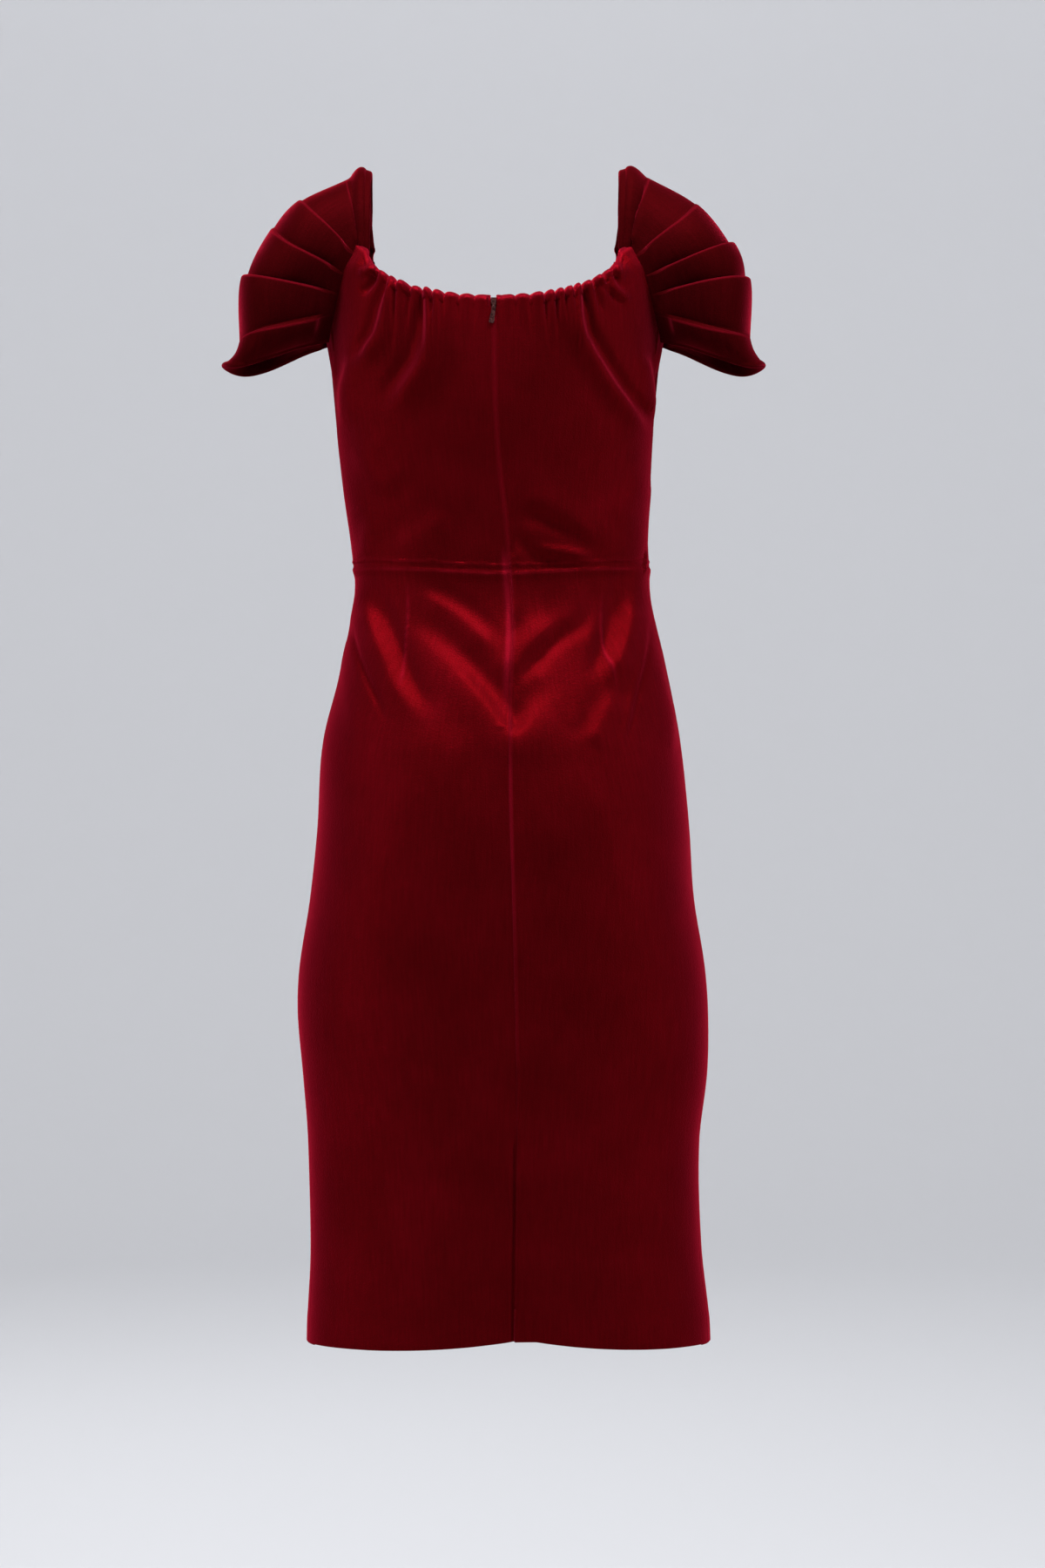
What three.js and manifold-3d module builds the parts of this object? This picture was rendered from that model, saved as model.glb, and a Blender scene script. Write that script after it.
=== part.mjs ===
// A knee-length sheath dress in stretch velvet, worn: gathered scoop neck, fan-pleated cap sleeves,
// a waist seam, a back zip and a back vent. Millimetres, +Z up, the front faces -Y and +X is the
// wearer's left. The origin lies between the shoulders, on the level where they carry the dress.
import * as THREE from "three";
import Module from "manifold-3d";

const wasm = await Module();
wasm.setup();

// Cloth and seams
const wall = 2; // thickness of the velvet
const seamGap = 0.3; // between two pieces at a seam
const hemZ = -996; // the level of the skirt's hem
const hemLift = 11; // how far the hem rises at the vent
const waistZ = -343; // the waist seam at the sides
const waistDip = 6; // how much lower it is in the middle of the back
const sideSeam = 8; // degrees from the side towards the back

// Neck and armholes
const shoulderZ = -72; // where the bodice ends and the sleeves go on over the shoulders
const armpitZ = -148; // the lowest point of the armholes
const armholeAngle = 19.7; // degrees from the side to the armhole's edge at shoulderZ
const neckHalf = 111; // half the width of the neck at shoulderZ
const backNeckDepth = 46.5; // from shoulderZ down to the middle of the back neck
const frontNeckDepth = 76;
const neckRound = { across: 2.6, down: 1.6 }; // exponents of the scoop's outline

// Vent and zip
const ventTopZ = -806;
const underlap = 36; // width of the vent's hidden layer
const underlapDrop = 2.6; // how far it lies under the other layer
const zipEndZ = -486;
const zipNotch = { wide: 3.5, high: 26 }; // the neck edge parts round the slider
const chainWide = 11;
const chainThick = 1.4;
const chainClear = 0.5; // how far the chain lies inside the cloth

// The form inside the dress, one row for each height. half is half its width, shift how far its
// middle lies from x = 0, front and back how deep it is each way.
const form = [
  { z: 0, half: 147, shift: 2.5, front: 48, back: 70 },
  { z: -72, half: 146, shift: 2.6, front: 64, back: 78 },
  { z: -144, half: 141.5, shift: 2.2, front: 97, back: 86 },
  { z: -206, half: 136, shift: 2.0, front: 110, back: 83 },
  { z: -266, half: 131.2, shift: 0.4, front: 101, back: 75 },
  { z: -325, half: 126, shift: -1.9, front: 91, back: 68 },
  { z: -369, half: 124.7, shift: -3.8, front: 89, back: 67 },
  { z: -414, half: 135, shift: -5.4, front: 94, back: 80 },
  { z: -473, half: 149, shift: -3.8, front: 101, back: 101 },
  { z: -502, half: 153.5, shift: -3.8, front: 103, back: 110 },
  { z: -562, half: 158, shift: -5.8, front: 103, back: 118 },
  { z: -621, half: 163, shift: -4.3, front: 100, back: 117 },
  { z: -680, half: 172.2, shift: -4.4, front: 97, back: 112 },
  { z: -720, half: 174.2, shift: -5.0, front: 95, back: 108 },
  { z: -769, half: 171.6, shift: -6.5, front: 93, back: 104 },
  { z: -828, half: 166, shift: -5.8, front: 91, back: 100 },
  { z: -917, half: 166, shift: -7.2, front: 88, back: 97 },
  { z: -976, half: 170.6, shift: -9.0, front: 87, back: 96 },
  { z: -1000, half: 171.4, shift: -9.3, front: 87, back: 96 },
];
const roundness = 2.25; // exponent of the form's rings: 2 is an ellipse

// Where the middle seam of the back runs
const backSeam = [
  { z: -118, x: 2.6 },
  { z: -213, x: 1.0 },
  { z: -264, x: -2.6 },
  { z: -300, x: -7.0 },
  { z: -347, x: -10.6 },
  { z: -389, x: -13.6 },
  { z: -455, x: -11.0 },
  { z: -540, x: -11.2 },
  { z: -630, x: -13.8 },
  { z: -806, x: -17.4 },
  { z: -980, x: -15.7 },
];

// Gathers along the back neck: at is the place on the neck from the middle, lean how far the fold
// runs sideways by its end
const gathersLeft = [
  { at: 12, wide: 9, high: 1.2, long: 22, lean: 0 },
  { at: 24, wide: 9, high: 1.8, long: 30, lean: 1 },
  { at: 36, wide: 9, high: 2.0, long: 26, lean: 3 },
  { at: 47, wide: 8, high: 2.4, long: 34, lean: 2 },
  { at: 57, wide: 10, high: 3.4, long: 50, lean: -2 },
  { at: 69, wide: 9, high: 2.8, long: 34, lean: 4 },
  { at: 80, wide: 9, high: 3.2, long: 40, lean: 4 },
  { at: 91, wide: 9, high: 3.0, long: 50, lean: 6 },
  { at: 101, wide: 7, high: 1.8, long: 26, lean: 8 },
];
const gathersRight = [
  { at: -13, wide: 9, high: 1.4, long: 24, lean: 0 },
  { at: -25, wide: 9, high: 1.6, long: 22, lean: -1 },
  { at: -37, wide: 9, high: 2.2, long: 30, lean: -3 },
  { at: -48, wide: 8, high: 2.8, long: 34, lean: -4 },
  { at: -58, wide: 8, high: 2.6, long: 30, lean: -3 },
  { at: -69, wide: 10, high: 3.6, long: 52, lean: -4 },
  { at: -81, wide: 9, high: 3.0, long: 40, lean: -8 },
  { at: -92, wide: 8, high: 2.6, long: 34, lean: -10 },
  { at: -101, wide: 6, high: 1.6, long: 24, lean: -10 },
];
const frontGathers = { count: 16, reach: 84, wide: 8.5, high: 2.2, long: 34 };

// The large folds of the back, each a soft ridge, or a trough where high is below zero, from one
// point over a second to a third
const backFolds = [
  { x1: 92, z1: -116, x2: 96, z2: -142, x3: 116, z3: -176, wide: 12, high: 3.0 },
  { x1: 54, z1: -124, x2: 50, z2: -176, x3: 97, z3: -228, wide: 14, high: 3.4 },
  { x1: -67, z1: -125, x2: -72, z2: -182, x3: -129, z3: -242, wide: 13, high: 4.2 },
  { x1: -112, z1: -158, x2: -124, z2: -180, x3: -130, z3: -208, wide: 10, high: 2.2 },
  { x1: -22, z1: -284, x2: -50, z2: -296, x3: -96, z3: -326, wide: 16, high: 2.2 },
  { x1: 66, z1: -396, x2: 34, z2: -426, x3: -6, z3: -482, wide: 15, high: 5.0 },
  { x1: 115, z1: -356, x2: 88, z2: -420, x3: 55, z3: -490, wide: 17, high: 4.6 },
  { x1: 56, z1: -370, x2: 30, z2: -388, x3: 2, z3: -416, wide: 12, high: 2.6 },
  { x1: -16, z1: -488, x2: -34, z2: -480, x3: -56, z3: -448, wide: 14, high: 4.4 },
  { x1: -9, z1: -446, x2: -14, z2: -412, x3: -42, z3: -394, wide: 12, high: 3.4 },
  { x1: -122, z1: -352, x2: -108, z2: -388, x3: -92, z3: -432, wide: 15, high: 4.4 },
  { x1: -20, z1: -462, x2: -36, z2: -440, x3: -66, z3: -398, wide: 15, high: -2.6 },
];
const frontFolds = [
  { x1: 100, z1: -360, x2: 76, z2: -404, x3: 30, z3: -446, wide: 17, high: 3.4 },
  { x1: -96, z1: -364, x2: -80, z2: -402, x3: -36, z3: -440, wide: 17, high: 3.2 },
  { x1: 106, z1: -150, x2: 88, z2: -186, x3: 72, z3: -204, wide: 14, high: 2.4 },
  { x1: -102, z1: -148, x2: -90, z2: -184, x3: -74, z3: -206, wide: 14, high: 2.6 },
];
const bust = { x: 66, z: -212, wide: 56, high: 9 }; // the fullness that the neck gathers give

// Each sleeve is a fan of folds. fan runs from the neck edge to the hem, seam is the place on the
// armhole in degrees, outX and outZ the place on the outer edge seen from behind, bulge how far
// the fold swings back round the arm, and the last three how high its ridge stands at the seam,
// halfway round and at the outer edge.
const sleeveLeft = [
  { fan: 0.0, seam: 26.0, outX: 112, outZ: -1, bulge: 0, atSeam: 1.6, midway: 2.6, atEdge: 2.2 },
  { fan: 0.13, seam: 20.5, outX: 128, outZ: -11, bulge: 3, atSeam: 1.6, midway: 3.4, atEdge: 1.8 },
  { fan: 0.3, seam: 18.7, outX: 168, outZ: -31, bulge: 9, atSeam: 1.8, midway: 4.8, atEdge: 1.2 },
  { fan: 0.47, seam: 16.4, outX: 191, outZ: -55, bulge: 17, atSeam: 1.8, midway: 5.4, atEdge: 2.2 },
  { fan: 0.64, seam: 13.9, outX: 213, outZ: -97, bulge: 26, atSeam: 1.8, midway: 5.6, atEdge: 4.8 },
  { fan: 0.82, seam: 10.9, outX: 219, outZ: -147, bulge: 34, atSeam: 1.8, midway: 4.8, atEdge: 0.8 },
  { fan: 1.0, seam: 4.5, outX: 233, outZ: -170, bulge: 38, atSeam: 0.6, midway: 0.8, atEdge: 1.6 },
];
const sleeveRight = [
  { fan: 0.0, seam: 26.0, outX: 109, outZ: 0, bulge: 0, atSeam: 1.6, midway: 2.4, atEdge: 2.0 },
  { fan: 0.14, seam: 20.5, outX: 129, outZ: -10, bulge: 3, atSeam: 1.8, midway: 4.2, atEdge: 1.4 },
  { fan: 0.3, seam: 18.4, outX: 170, outZ: -34, bulge: 9, atSeam: 1.8, midway: 4.6, atEdge: 1.2 },
  { fan: 0.47, seam: 16.2, outX: 199, outZ: -69, bulge: 17, atSeam: 1.8, midway: 5.2, atEdge: 4.4 },
  { fan: 0.64, seam: 13.7, outX: 211, outZ: -99, bulge: 26, atSeam: 1.8, midway: 5.2, atEdge: 4.0 },
  { fan: 0.82, seam: 10.8, outX: 215, outZ: -147, bulge: 34, atSeam: 1.8, midway: 4.8, atEdge: 0.8 },
  { fan: 1.0, seam: 4.5, outX: 227, outZ: -170, bulge: 38, atSeam: 0.6, midway: 0.8, atEdge: 1.6 },
];
const pleatSteep = 0.16; // the share of each pleat that its steep side takes
const hemSag = 8; // how far the sleeve's hem hangs below a straight line behind the arm
const sleeveClear = 1.2; // how far the sleeve starts from the armhole's edge

const velvet = new THREE.MeshStandardMaterial({ color: 0x5a000f, roughness: 0.85, metalness: 0 });
const zipTape = new THREE.MeshStandardMaterial({ color: 0x2c0a10, roughness: 0.7, metalness: 0 });
const zipMetal = new THREE.MeshStandardMaterial({ color: 0x3a1a20, roughness: 0.35, metalness: 0.8 });

const degrees = Math.PI / 180;
const mix = THREE.MathUtils.lerp;
const ease = THREE.MathUtils.smoothstep; // ease(value, from, to)

// A smooth value between a table's rows, which run one way along the column named by
function between(table, by, at, column) {
  const way = Math.sign(table[1][by] - table[0][by]);
  let i = 0;
  while (i < table.length - 2 && (at - table[i + 1][by]) * way > 0) i++;
  const slope = (k) => {
    const a = table[Math.max(k - 1, 0)];
    const b = table[Math.min(k + 1, table.length - 1)];
    return (b[column] - a[column]) / (b[by] - a[by]);
  };
  const [low, high] = [table[i], table[i + 1]];
  const span = high[by] - low[by];
  const t = THREE.MathUtils.clamp((at - low[by]) / span, 0, 1);
  const stay = 1 - t;
  return (
    low[column] * (1 + 2 * t) * stay * stay +
    high[column] * (3 - 2 * t) * t * t +
    slope(i) * span * t * stay * stay -
    slope(i + 1) * span * t * t * stay
  );
}

// A point of the form: 0 degrees is the wearer's left side, 90 the middle of the back
function skin(angle, z) {
  const value = (column) => between(form, "z", z, column);
  const [c, s] = [Math.cos(angle * degrees), Math.sin(angle * degrees)];
  const depth = s > 0 ? value("back") : value("front");
  const size = (Math.abs(c) / value("half")) ** roundness + (Math.abs(s) / depth) ** roundness;
  const radius = size ** (-1 / roundness);
  return new THREE.Vector3(value("shift") + radius * c, radius * s, z);
}

function skinNormal(angle, z) {
  const along = skin(angle + 0.4, z).sub(skin(angle - 0.4, z));
  const up = skin(angle, z + 2).sub(skin(angle, z - 2));
  return along.cross(up).normalize();
}

function backSeamAngle(z) {
  const x = between(backSeam, "z", z, "x") - between(form, "z", z, "shift");
  const [half, back] = [between(form, "z", z, "half"), between(form, "z", z, "back")];
  const y = back * (1 - (Math.abs(x) / half) ** roundness) ** (1 / roundness);
  return Math.atan2(y, x) / degrees;
}

// The upper edge of the bodice: armhole, shoulder and scoop
function topZ(angle) {
  const fromSide = Math.min(Math.abs(angle), Math.abs(180 - angle), Math.abs(angle + 180));
  if (fromSide < armholeAngle)
    return armpitZ + (shoulderZ - armpitZ) * (fromSide / armholeAngle) ** 2;
  const level = shoulderZ - 20;
  const across = Math.abs(skin(angle, level).x - between(form, "z", level, "shift")) / neckHalf;
  if (across >= 1) return shoulderZ;
  const depth = Math.sin(angle * degrees) > 0 ? backNeckDepth : frontNeckDepth;
  return shoulderZ - depth * (1 - across ** neckRound.across) ** (1 / neckRound.down);
}

const waistAt = (angle) => waistZ - waistDip * Math.max(Math.sin(angle * degrees), 0) ** 2;

function hemAt(angle) {
  const fromVent = Math.abs(angle - backSeamAngle(hemZ)) / 62;
  return hemZ + hemLift * Math.max(1 - fromVent, 0) ** 1.6;
}

// How far a fold stands at a point: the fold is a curve through three points, highest halfway
function foldHeight(folds, x, z) {
  let sum = 0;
  for (const f of folds) {
    let best = Infinity;
    let place = 0;
    for (let k = 0; k <= 14; k++) {
      const t = k / 14;
      const bx = mix(mix(f.x1, f.x2, t), mix(f.x2, f.x3, t), t);
      const bz = mix(mix(f.z1, f.z2, t), mix(f.z2, f.z3, t), t);
      const away = Math.hypot(x - bx, z - bz);
      if (away < best) [best, place] = [away, t];
    }
    if (best >= f.wide) continue;
    const ends = Math.min(1, 0.35 + 1.3 * Math.sin(Math.PI * place));
    sum += f.high * ends * Math.cos((best / f.wide) * (Math.PI / 2)) ** 2;
  }
  return sum;
}

function gatherHeight(gathers, x, below) {
  let sum = 0;
  for (const g of gathers) {
    const t = below / g.long;
    if (t > 1) continue;
    const away = Math.abs(x - g.at - g.lean * t) / (g.wide * (0.62 + 0.3 * t));
    if (away < 1) sum += g.high * (1 - t) ** 1.3 * Math.cos((away * Math.PI) / 2) ** 2;
  }
  return sum;
}

// Folds and gathers of the body pieces, in mm out from the form
function bodyFolds(angle, z) {
  const p = skin(angle, z);
  const below = topZ(angle) - z;
  if (p.y > 0) {
    const x = p.x - 3;
    const gathered = z > waistZ ? gatherHeight([...gathersLeft, ...gathersRight], x, below) : 0;
    return gathered + foldHeight(backFolds, p.x, z);
  }
  let high = foldHeight(frontFolds, p.x, z);
  const cup = Math.hypot(Math.abs(p.x) - bust.x, z - bust.z) / bust.wide;
  if (cup < 1) high += bust.high * Math.cos((cup * Math.PI) / 2) ** 2;
  if (z > waistZ && Math.abs(p.x) < frontGathers.reach) {
    const wave = Math.cos((p.x / frontGathers.reach) * Math.PI * frontGathers.count * 0.5) ** 2;
    high += frontGathers.high * wave * Math.max(1 - below / frontGathers.long, 0) ** 1.3;
  }
  return high;
}

// A point of the cloth's outer face, raised or sunk from the form
function clothPoint(angle, z, out) {
  return skin(angle, z).addScaledVector(skinNormal(angle, z), out);
}

// A wall over a grid. at(column, row) gives {outer, inner}; has(column, row) says whether the
// cell above and after that point is cloth.
function wallOf(columns, rows, at, has = () => true) {
  const spots = [];
  const index = new Map();
  const spot = (i, j, side) => {
    const key = (i * (rows + 1) + j) * 2 + side;
    if (!index.has(key)) {
      const p = at(i, j);
      index.set(key - side, spots.length);
      index.set(key - side + 1, spots.length + 1);
      spots.push(p.outer, p.inner);
    }
    return index.get(key);
  };
  const faces = [];
  const quad = (a, b, c, d) => faces.push(a, b, c, a, c, d);
  const cloth = (i, j) => i >= 0 && j >= 0 && i < columns && j < rows && has(i, j);
  for (let i = 0; i < columns; i++)
    for (let j = 0; j < rows; j++) {
      if (!cloth(i, j)) continue;
      const ring = [
        [i, j],
        [i + 1, j],
        [i + 1, j + 1],
        [i, j + 1],
      ];
      quad(...ring.map(([a, b]) => spot(a, b, 0)));
      quad(...ring.map(([a, b]) => spot(a, b, 1)).reverse());
      const beyond = [cloth(i, j - 1), cloth(i + 1, j), cloth(i, j + 1), cloth(i - 1, j)];
      beyond.forEach((there, k) => {
        if (there) return;
        const [a, b] = [ring[k], ring[(k + 1) % 4]];
        quad(spot(...b, 0), spot(...a, 0), spot(...a, 1), spot(...b, 1));
      });
    }
  const shape = new THREE.BufferGeometry();
  const flat = spots.flatMap((p) => [p.x, p.y, p.z]);
  shape.setAttribute("position", new THREE.Float32BufferAttribute(flat, 3));
  shape.setIndex(faces);
  return shape;
}

// Evenly spread shares from 0 to 1, with extra ones where they are wanted
function shares(count, extra = []) {
  const all = Array.from({ length: count + 1 }, (_, i) => i / count);
  return [...all, ...extra].sort((a, b) => a - b);
}

// Closer columns along the armhole: the shares of a piece from first to last degrees
function bodiceColumns(first, last, middleStep) {
  const columns = [first, last];
  for (let a = -17.6; a < 18; a += 2.4) columns.push(a, 180 - a, -180 - a);
  for (const side of [-1, 1]) {
    for (const corner of [0, 180]) columns.push(corner + side * armholeAngle, side * (180 - armholeAngle));
    const count = Math.round((90 - armholeAngle) / middleStep);
    for (let k = 1; k <= count; k++) {
      const a = mix(armholeAngle, 90, k / count);
      columns.push(side * a, side * (180 - a));
    }
  }
  const inside = columns.filter((a) => a >= first && a <= last).sort((a, b) => a - b);
  const apart = inside.filter((a, i) => i === 0 || a - inside[i - 1] > 0.6);
  apart[apart.length - 1] = last;
  return apart.map((a) => (a - first) / (last - first));
}

// A body piece: columns run from one seam to the other, rows from its lower to its upper edge
function bodyPiece({ from, to, across, up, low, high, warp = () => 0, sink = () => 0, has }) {
  const gapAngle = seamGap / 2 / 95 / degrees;
  const at = (i, j) => {
    const share = across[i];
    const plain = mix(from + gapAngle, to - gapAngle, Math.min(share, 1));
    const z = mix(low(plain) + seamGap / 2, high(plain) - seamGap, up[j]);
    const angle = plain + warp(share, z);
    const out = bodyFolds(angle, z) - sink(share, z);
    return { outer: clothPoint(angle, z, out), inner: clothPoint(angle, z, out - wall) };
  };
  return wallOf(across.length - 1, up.length - 1, at, has);
}

// Turns the middle edge of a back piece on to the middle seam, and opens the notch for the slider
function toBackSeam(side) {
  return (share, z) => {
    const near = ease(Math.min(share, 1), 0.3, 1);
    const neckZ = shoulderZ - backNeckDepth;
    const open = zipNotch.wide * ease(z, neckZ - zipNotch.high, neckZ);
    const notch = (open / 85 / degrees) * ease(share, 0.9, 1);
    return (backSeamAngle(z) - 90) * near - side * notch;
  };
}

const bodiceUp = shares(7, [0.79, 0.91, 0.955, 0.985]);

function backBodice(side) {
  const [from, to] = side > 0 ? [sideSeam, 90] : [90, 180 - sideSeam];
  const across = bodiceColumns(from, to, 3.2);
  const warp = (share, z) => toBackSeam(side)(side > 0 ? share : 1 - share, z);
  return bodyPiece({ from, to, across, up: bodiceUp, low: waistAt, high: topZ, warp });
}

function frontBodice() {
  const [from, to] = [-180 - sideSeam, sideSeam];
  const across = bodiceColumns(from, to, 4);
  return bodyPiece({ from, to, across, up: bodiceUp, low: waistAt, high: topZ });
}

const skirtUp = shares(16, [0.72, 0.78, 0.84, 0.91, 0.97, 0.28]);

// The wearer's right back of the skirt lies on top at the vent
function skirtBackRight() {
  const across = shares(16, [0.03]);
  const warp = (share, z) => toBackSeam(-1)(1 - share, z);
  return bodyPiece({
    from: 90, to: 180 - sideSeam, across, up: skirtUp, low: hemAt, high: waistAt, warp,
  });
}

// The left back goes on under it as the vent's hidden layer
function skirtBackLeft() {
  const main = shares(16, [0.92, 0.965, 0.985]);
  const hidden = [0.03, 0.3, 0.65, 1];
  const across = [...main, ...hidden.map((h) => 1 + h)];
  const inVent = (z) => 1 - ease(z, ventTopZ - 26, ventTopZ - 6);
  const sink = (share, z) => underlapDrop * inVent(z) * ease(share, 0.93, 1);
  const beyond = (share) => (Math.max(share - 1, 0) * underlap) / 98 / degrees;
  const warp = (share, z) => toBackSeam(1)(share, z) + beyond(share);
  const ventRow = skirtUp.findIndex((v) => mix(hemZ, waistZ, v) > ventTopZ - 26) - 1;
  const has = (i, j) => i < main.length - 1 || j < ventRow;
  return bodyPiece({
    from: sideSeam, to: 90, across, up: skirtUp, low: hemAt, high: waistAt, warp, sink, has,
  });
}

function skirtFront() {
  return bodyPiece({
    from: -180 - sideSeam, to: sideSeam, across: shares(28), up: shares(14, [0.97, 0.89]),
    low: hemAt, high: waistAt,
  });
}

// A sleeve: fan goes from the neck edge to the hem, turn from the back of the armhole (0) over
// the outer edge (0.5) to its front (1)
function sleeve(table, side) {
  const value = (column, fan) => between(table, "fan", fan, column);
  // The armhole's edge: away points off the bodice within the cloth, out is square to the cloth
  const atSeam = (fan, behind) => {
    const angle = value("seam", fan) * (behind ? 1 : -1);
    const real = side > 0 ? angle : 180 - angle;
    const edge = (a) => skin(a, topZ(a));
    const out = skinNormal(real, topZ(real));
    const away = edge(real + 1).sub(edge(real - 1)).cross(out).normalize();
    if (away.z < 0) away.negate();
    return { place: edge(real).addScaledVector(away, sleeveClear), out };
  };
  const base = (fan, turn) => {
    const { place } = atSeam(fan, turn < 0.5);
    const round = turn * Math.PI;
    const [reach, swing] = [Math.sin(round) ** 0.94, Math.sin(2 * round)];
    const sag = hemSag * fan ** 4 * swing * swing;
    return new THREE.Vector3(
      mix(place.x, side * value("outX", fan), reach),
      Math.abs(place.y) * Math.cos(round) + value("bulge", fan) * swing,
      mix(place.z, value("outZ", fan), reach) - sag,
    );
  };
  const ridge = (row, turn) => {
    const t = Math.min(turn, 1 - turn) * 2;
    const first = mix(row.atSeam, row.midway, ease(t, 0, 0.45));
    return mix(first, row.atEdge, ease(t, 0.45, 1));
  };
  const pleat = (fan, turn) => {
    let i = 0;
    while (i < table.length - 2 && fan > table[i + 1].fan) i++;
    const [above, below] = [table[i], table[i + 1]];
    const s = (fan - above.fan) / (below.fan - above.fan);
    const fall = ridge(above, turn) * (1 - ease(s, 0, 1 - pleatSteep)) ** 0.8;
    return fall + ridge(below, turn) * ease(s, 1 - pleatSteep, 1);
  };
  const fans = [];
  for (let i = 0; i < table.length - 1; i++)
    for (const s of [0, 0.3, 0.58, 1 - pleatSteep])
      fans.push(mix(table[i].fan, table[i + 1].fan, s));
  fans.push(1);
  const turns = [0, 0.02, ...shares(18).slice(1, -1), 0.98, 1];
  const at = (i, j) => {
    const [turn, fan] = [turns[i], fans[j]];
    const near = THREE.MathUtils.clamp(turn, 0.01, 0.99);
    const along = base(fan, near + 0.005).sub(base(fan, near - 0.005));
    const down = base(Math.min(fan + 0.01, 1), near).sub(base(Math.max(fan - 0.01, 0), near));
    const own = down.cross(along).normalize().multiplyScalar(side);
    const free = ease(Math.min(turn, 1 - turn), 0, 0.1);
    const normal = atSeam(fan, turn < 0.5).out.lerp(own, free).normalize();
    const out = pleat(fan, turn) - (wall / 2) * free;
    const p = base(fan, turn);
    return {
      outer: p.clone().addScaledVector(normal, out),
      inner: p.clone().addScaledVector(normal, out - wall),
    };
  };
  const shape = wallOf(turns.length - 1, fans.length - 1, at);
  if (side > 0) turnInsideOut(shape);
  return shape;
}

function turnInsideOut(shape) {
  const order = shape.index.array;
  for (let i = 0; i < order.length; i += 3) [order[i], order[i + 1]] = [order[i + 1], order[i]];
}

// The zip's closed chain and tape: a strip inside the middle seam of the back
function zipChain() {
  const rows = 26;
  const topOfZip = shoulderZ - backNeckDepth - 2;
  const at = (i, j) => {
    const z = mix(zipEndZ, topOfZip, j / rows);
    const middle = backSeamAngle(z);
    const angle = middle + ((i / 2 - 0.5) * chainWide) / 85 / degrees;
    const near = [-8, -4, 0, 4, 8].map((turn) => bodyFolds(middle + turn, z));
    const out = Math.min(...near) - wall - chainClear;
    return { outer: clothPoint(angle, z, out), inner: clothPoint(angle, z, out - chainThick) };
  };
  return wallOf(2, rows, at);
}

// The slider sits in the notch: its sizes are from the hole of the lug that carries the pull tab
const slider = { wide: 4.4, foot: 2.2, up: 8, down: 1.4, thick: 2.1 };
const lug = { outer: 1.6, hole: 0.85, wide: 0.9, stand: 1.95 };
const bridge = { top: 6.4, bottom: 0.9, high: 1.5 };
const tab = {
  wideTop: 3.1, wideEnd: 4.2, long: 13.6, thick: 0.8, bar: 0.9, windowWide: 2.1, windowLong: 2.2,
};
const tabLean = -8 * degrees; // the tab hangs a little to the wearer's left
const pivotZ = shoulderZ - backNeckDepth - 10;
const pivot = clothPoint(backSeamAngle(pivotZ), pivotZ, bodyFolds(backSeamAngle(pivotZ), pivotZ));
pivot.y += lug.stand + 0.1;

function solidOf(shape) {
  const places = (shape.index ? shape.toNonIndexed() : shape).attributes.position.array;
  const seen = new Map();
  const verts = [];
  const order = [];
  for (let i = 0; i < places.length; i += 9) {
    const corners = [0, 3, 6].map((c) => {
      const place = [0, 1, 2].map((k) => places[i + c + k]);
      const key = place.map((v) => Math.round(v * 1e4)).join();
      if (!seen.has(key)) {
        seen.set(key, verts.length / 3);
        verts.push(...place);
      }
      return seen.get(key);
    });
    if (new Set(corners).size === 3) order.push(...corners);
  }
  return new wasm.Manifold(
    new wasm.Mesh({
      numProp: 3,
      vertProperties: new Float32Array(verts),
      triVerts: new Uint32Array(order),
    }),
  );
}

function shapeOf(solid) {
  const { vertProperties, triVerts } = solid.getMesh();
  const shape = new THREE.BufferGeometry();
  shape.setAttribute("position", new THREE.BufferAttribute(new Float32Array(vertProperties), 3));
  shape.setIndex(new THREE.BufferAttribute(new Uint32Array(triVerts), 1));
  return shape;
}

// A plate drawn in x and z and thick in y, from back to back + thick
function plate(outline, thick, back) {
  const made = new THREE.ExtrudeGeometry(outline, { depth: thick, bevelEnabled: false, curveSegments: 6 });
  return made.rotateX(Math.PI / 2).translate(0, back + thick, 0);
}

function zipSlider() {
  const [w, foot, top] = [slider.wide / 2, slider.foot / 2, slider.up];
  const body = new THREE.Shape();
  body.moveTo(-w, top - 2.4);
  body.quadraticCurveTo(-w, top, 0, top);
  body.quadraticCurveTo(w, top, w, top - 2.4);
  body.lineTo(foot, -slider.down);
  body.lineTo(-foot, -slider.down);
  body.closePath();
  const ring = new THREE.Shape().absarc(0, 0, lug.outer, 0, 2 * Math.PI);
  ring.holes.push(new THREE.Path().absarc(0, 0, lug.hole, 0, 2 * Math.PI, true));
  const eye = new THREE.ExtrudeGeometry(ring, {
    depth: lug.wide, bevelEnabled: false, curveSegments: 9,
  });
  eye.rotateY(Math.PI / 2).translate(-lug.wide / 2, 0, 0);
  const foundation = new THREE.BoxGeometry(lug.wide, 0.9, 2).translate(0, -lug.stand + 0.35, 0);
  const long = bridge.top - bridge.bottom;
  const bar = new THREE.BoxGeometry(lug.wide, bridge.high, long);
  bar.translate(0, bridge.high / 2 - lug.stand - 0.1, bridge.bottom + long / 2);
  const base = solidOf(plate(body, slider.thick, -lug.stand - slider.thick));
  return shapeOf([eye, foundation, bar].reduce((sum, one) => sum.add(solidOf(one)), base));
}

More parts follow.
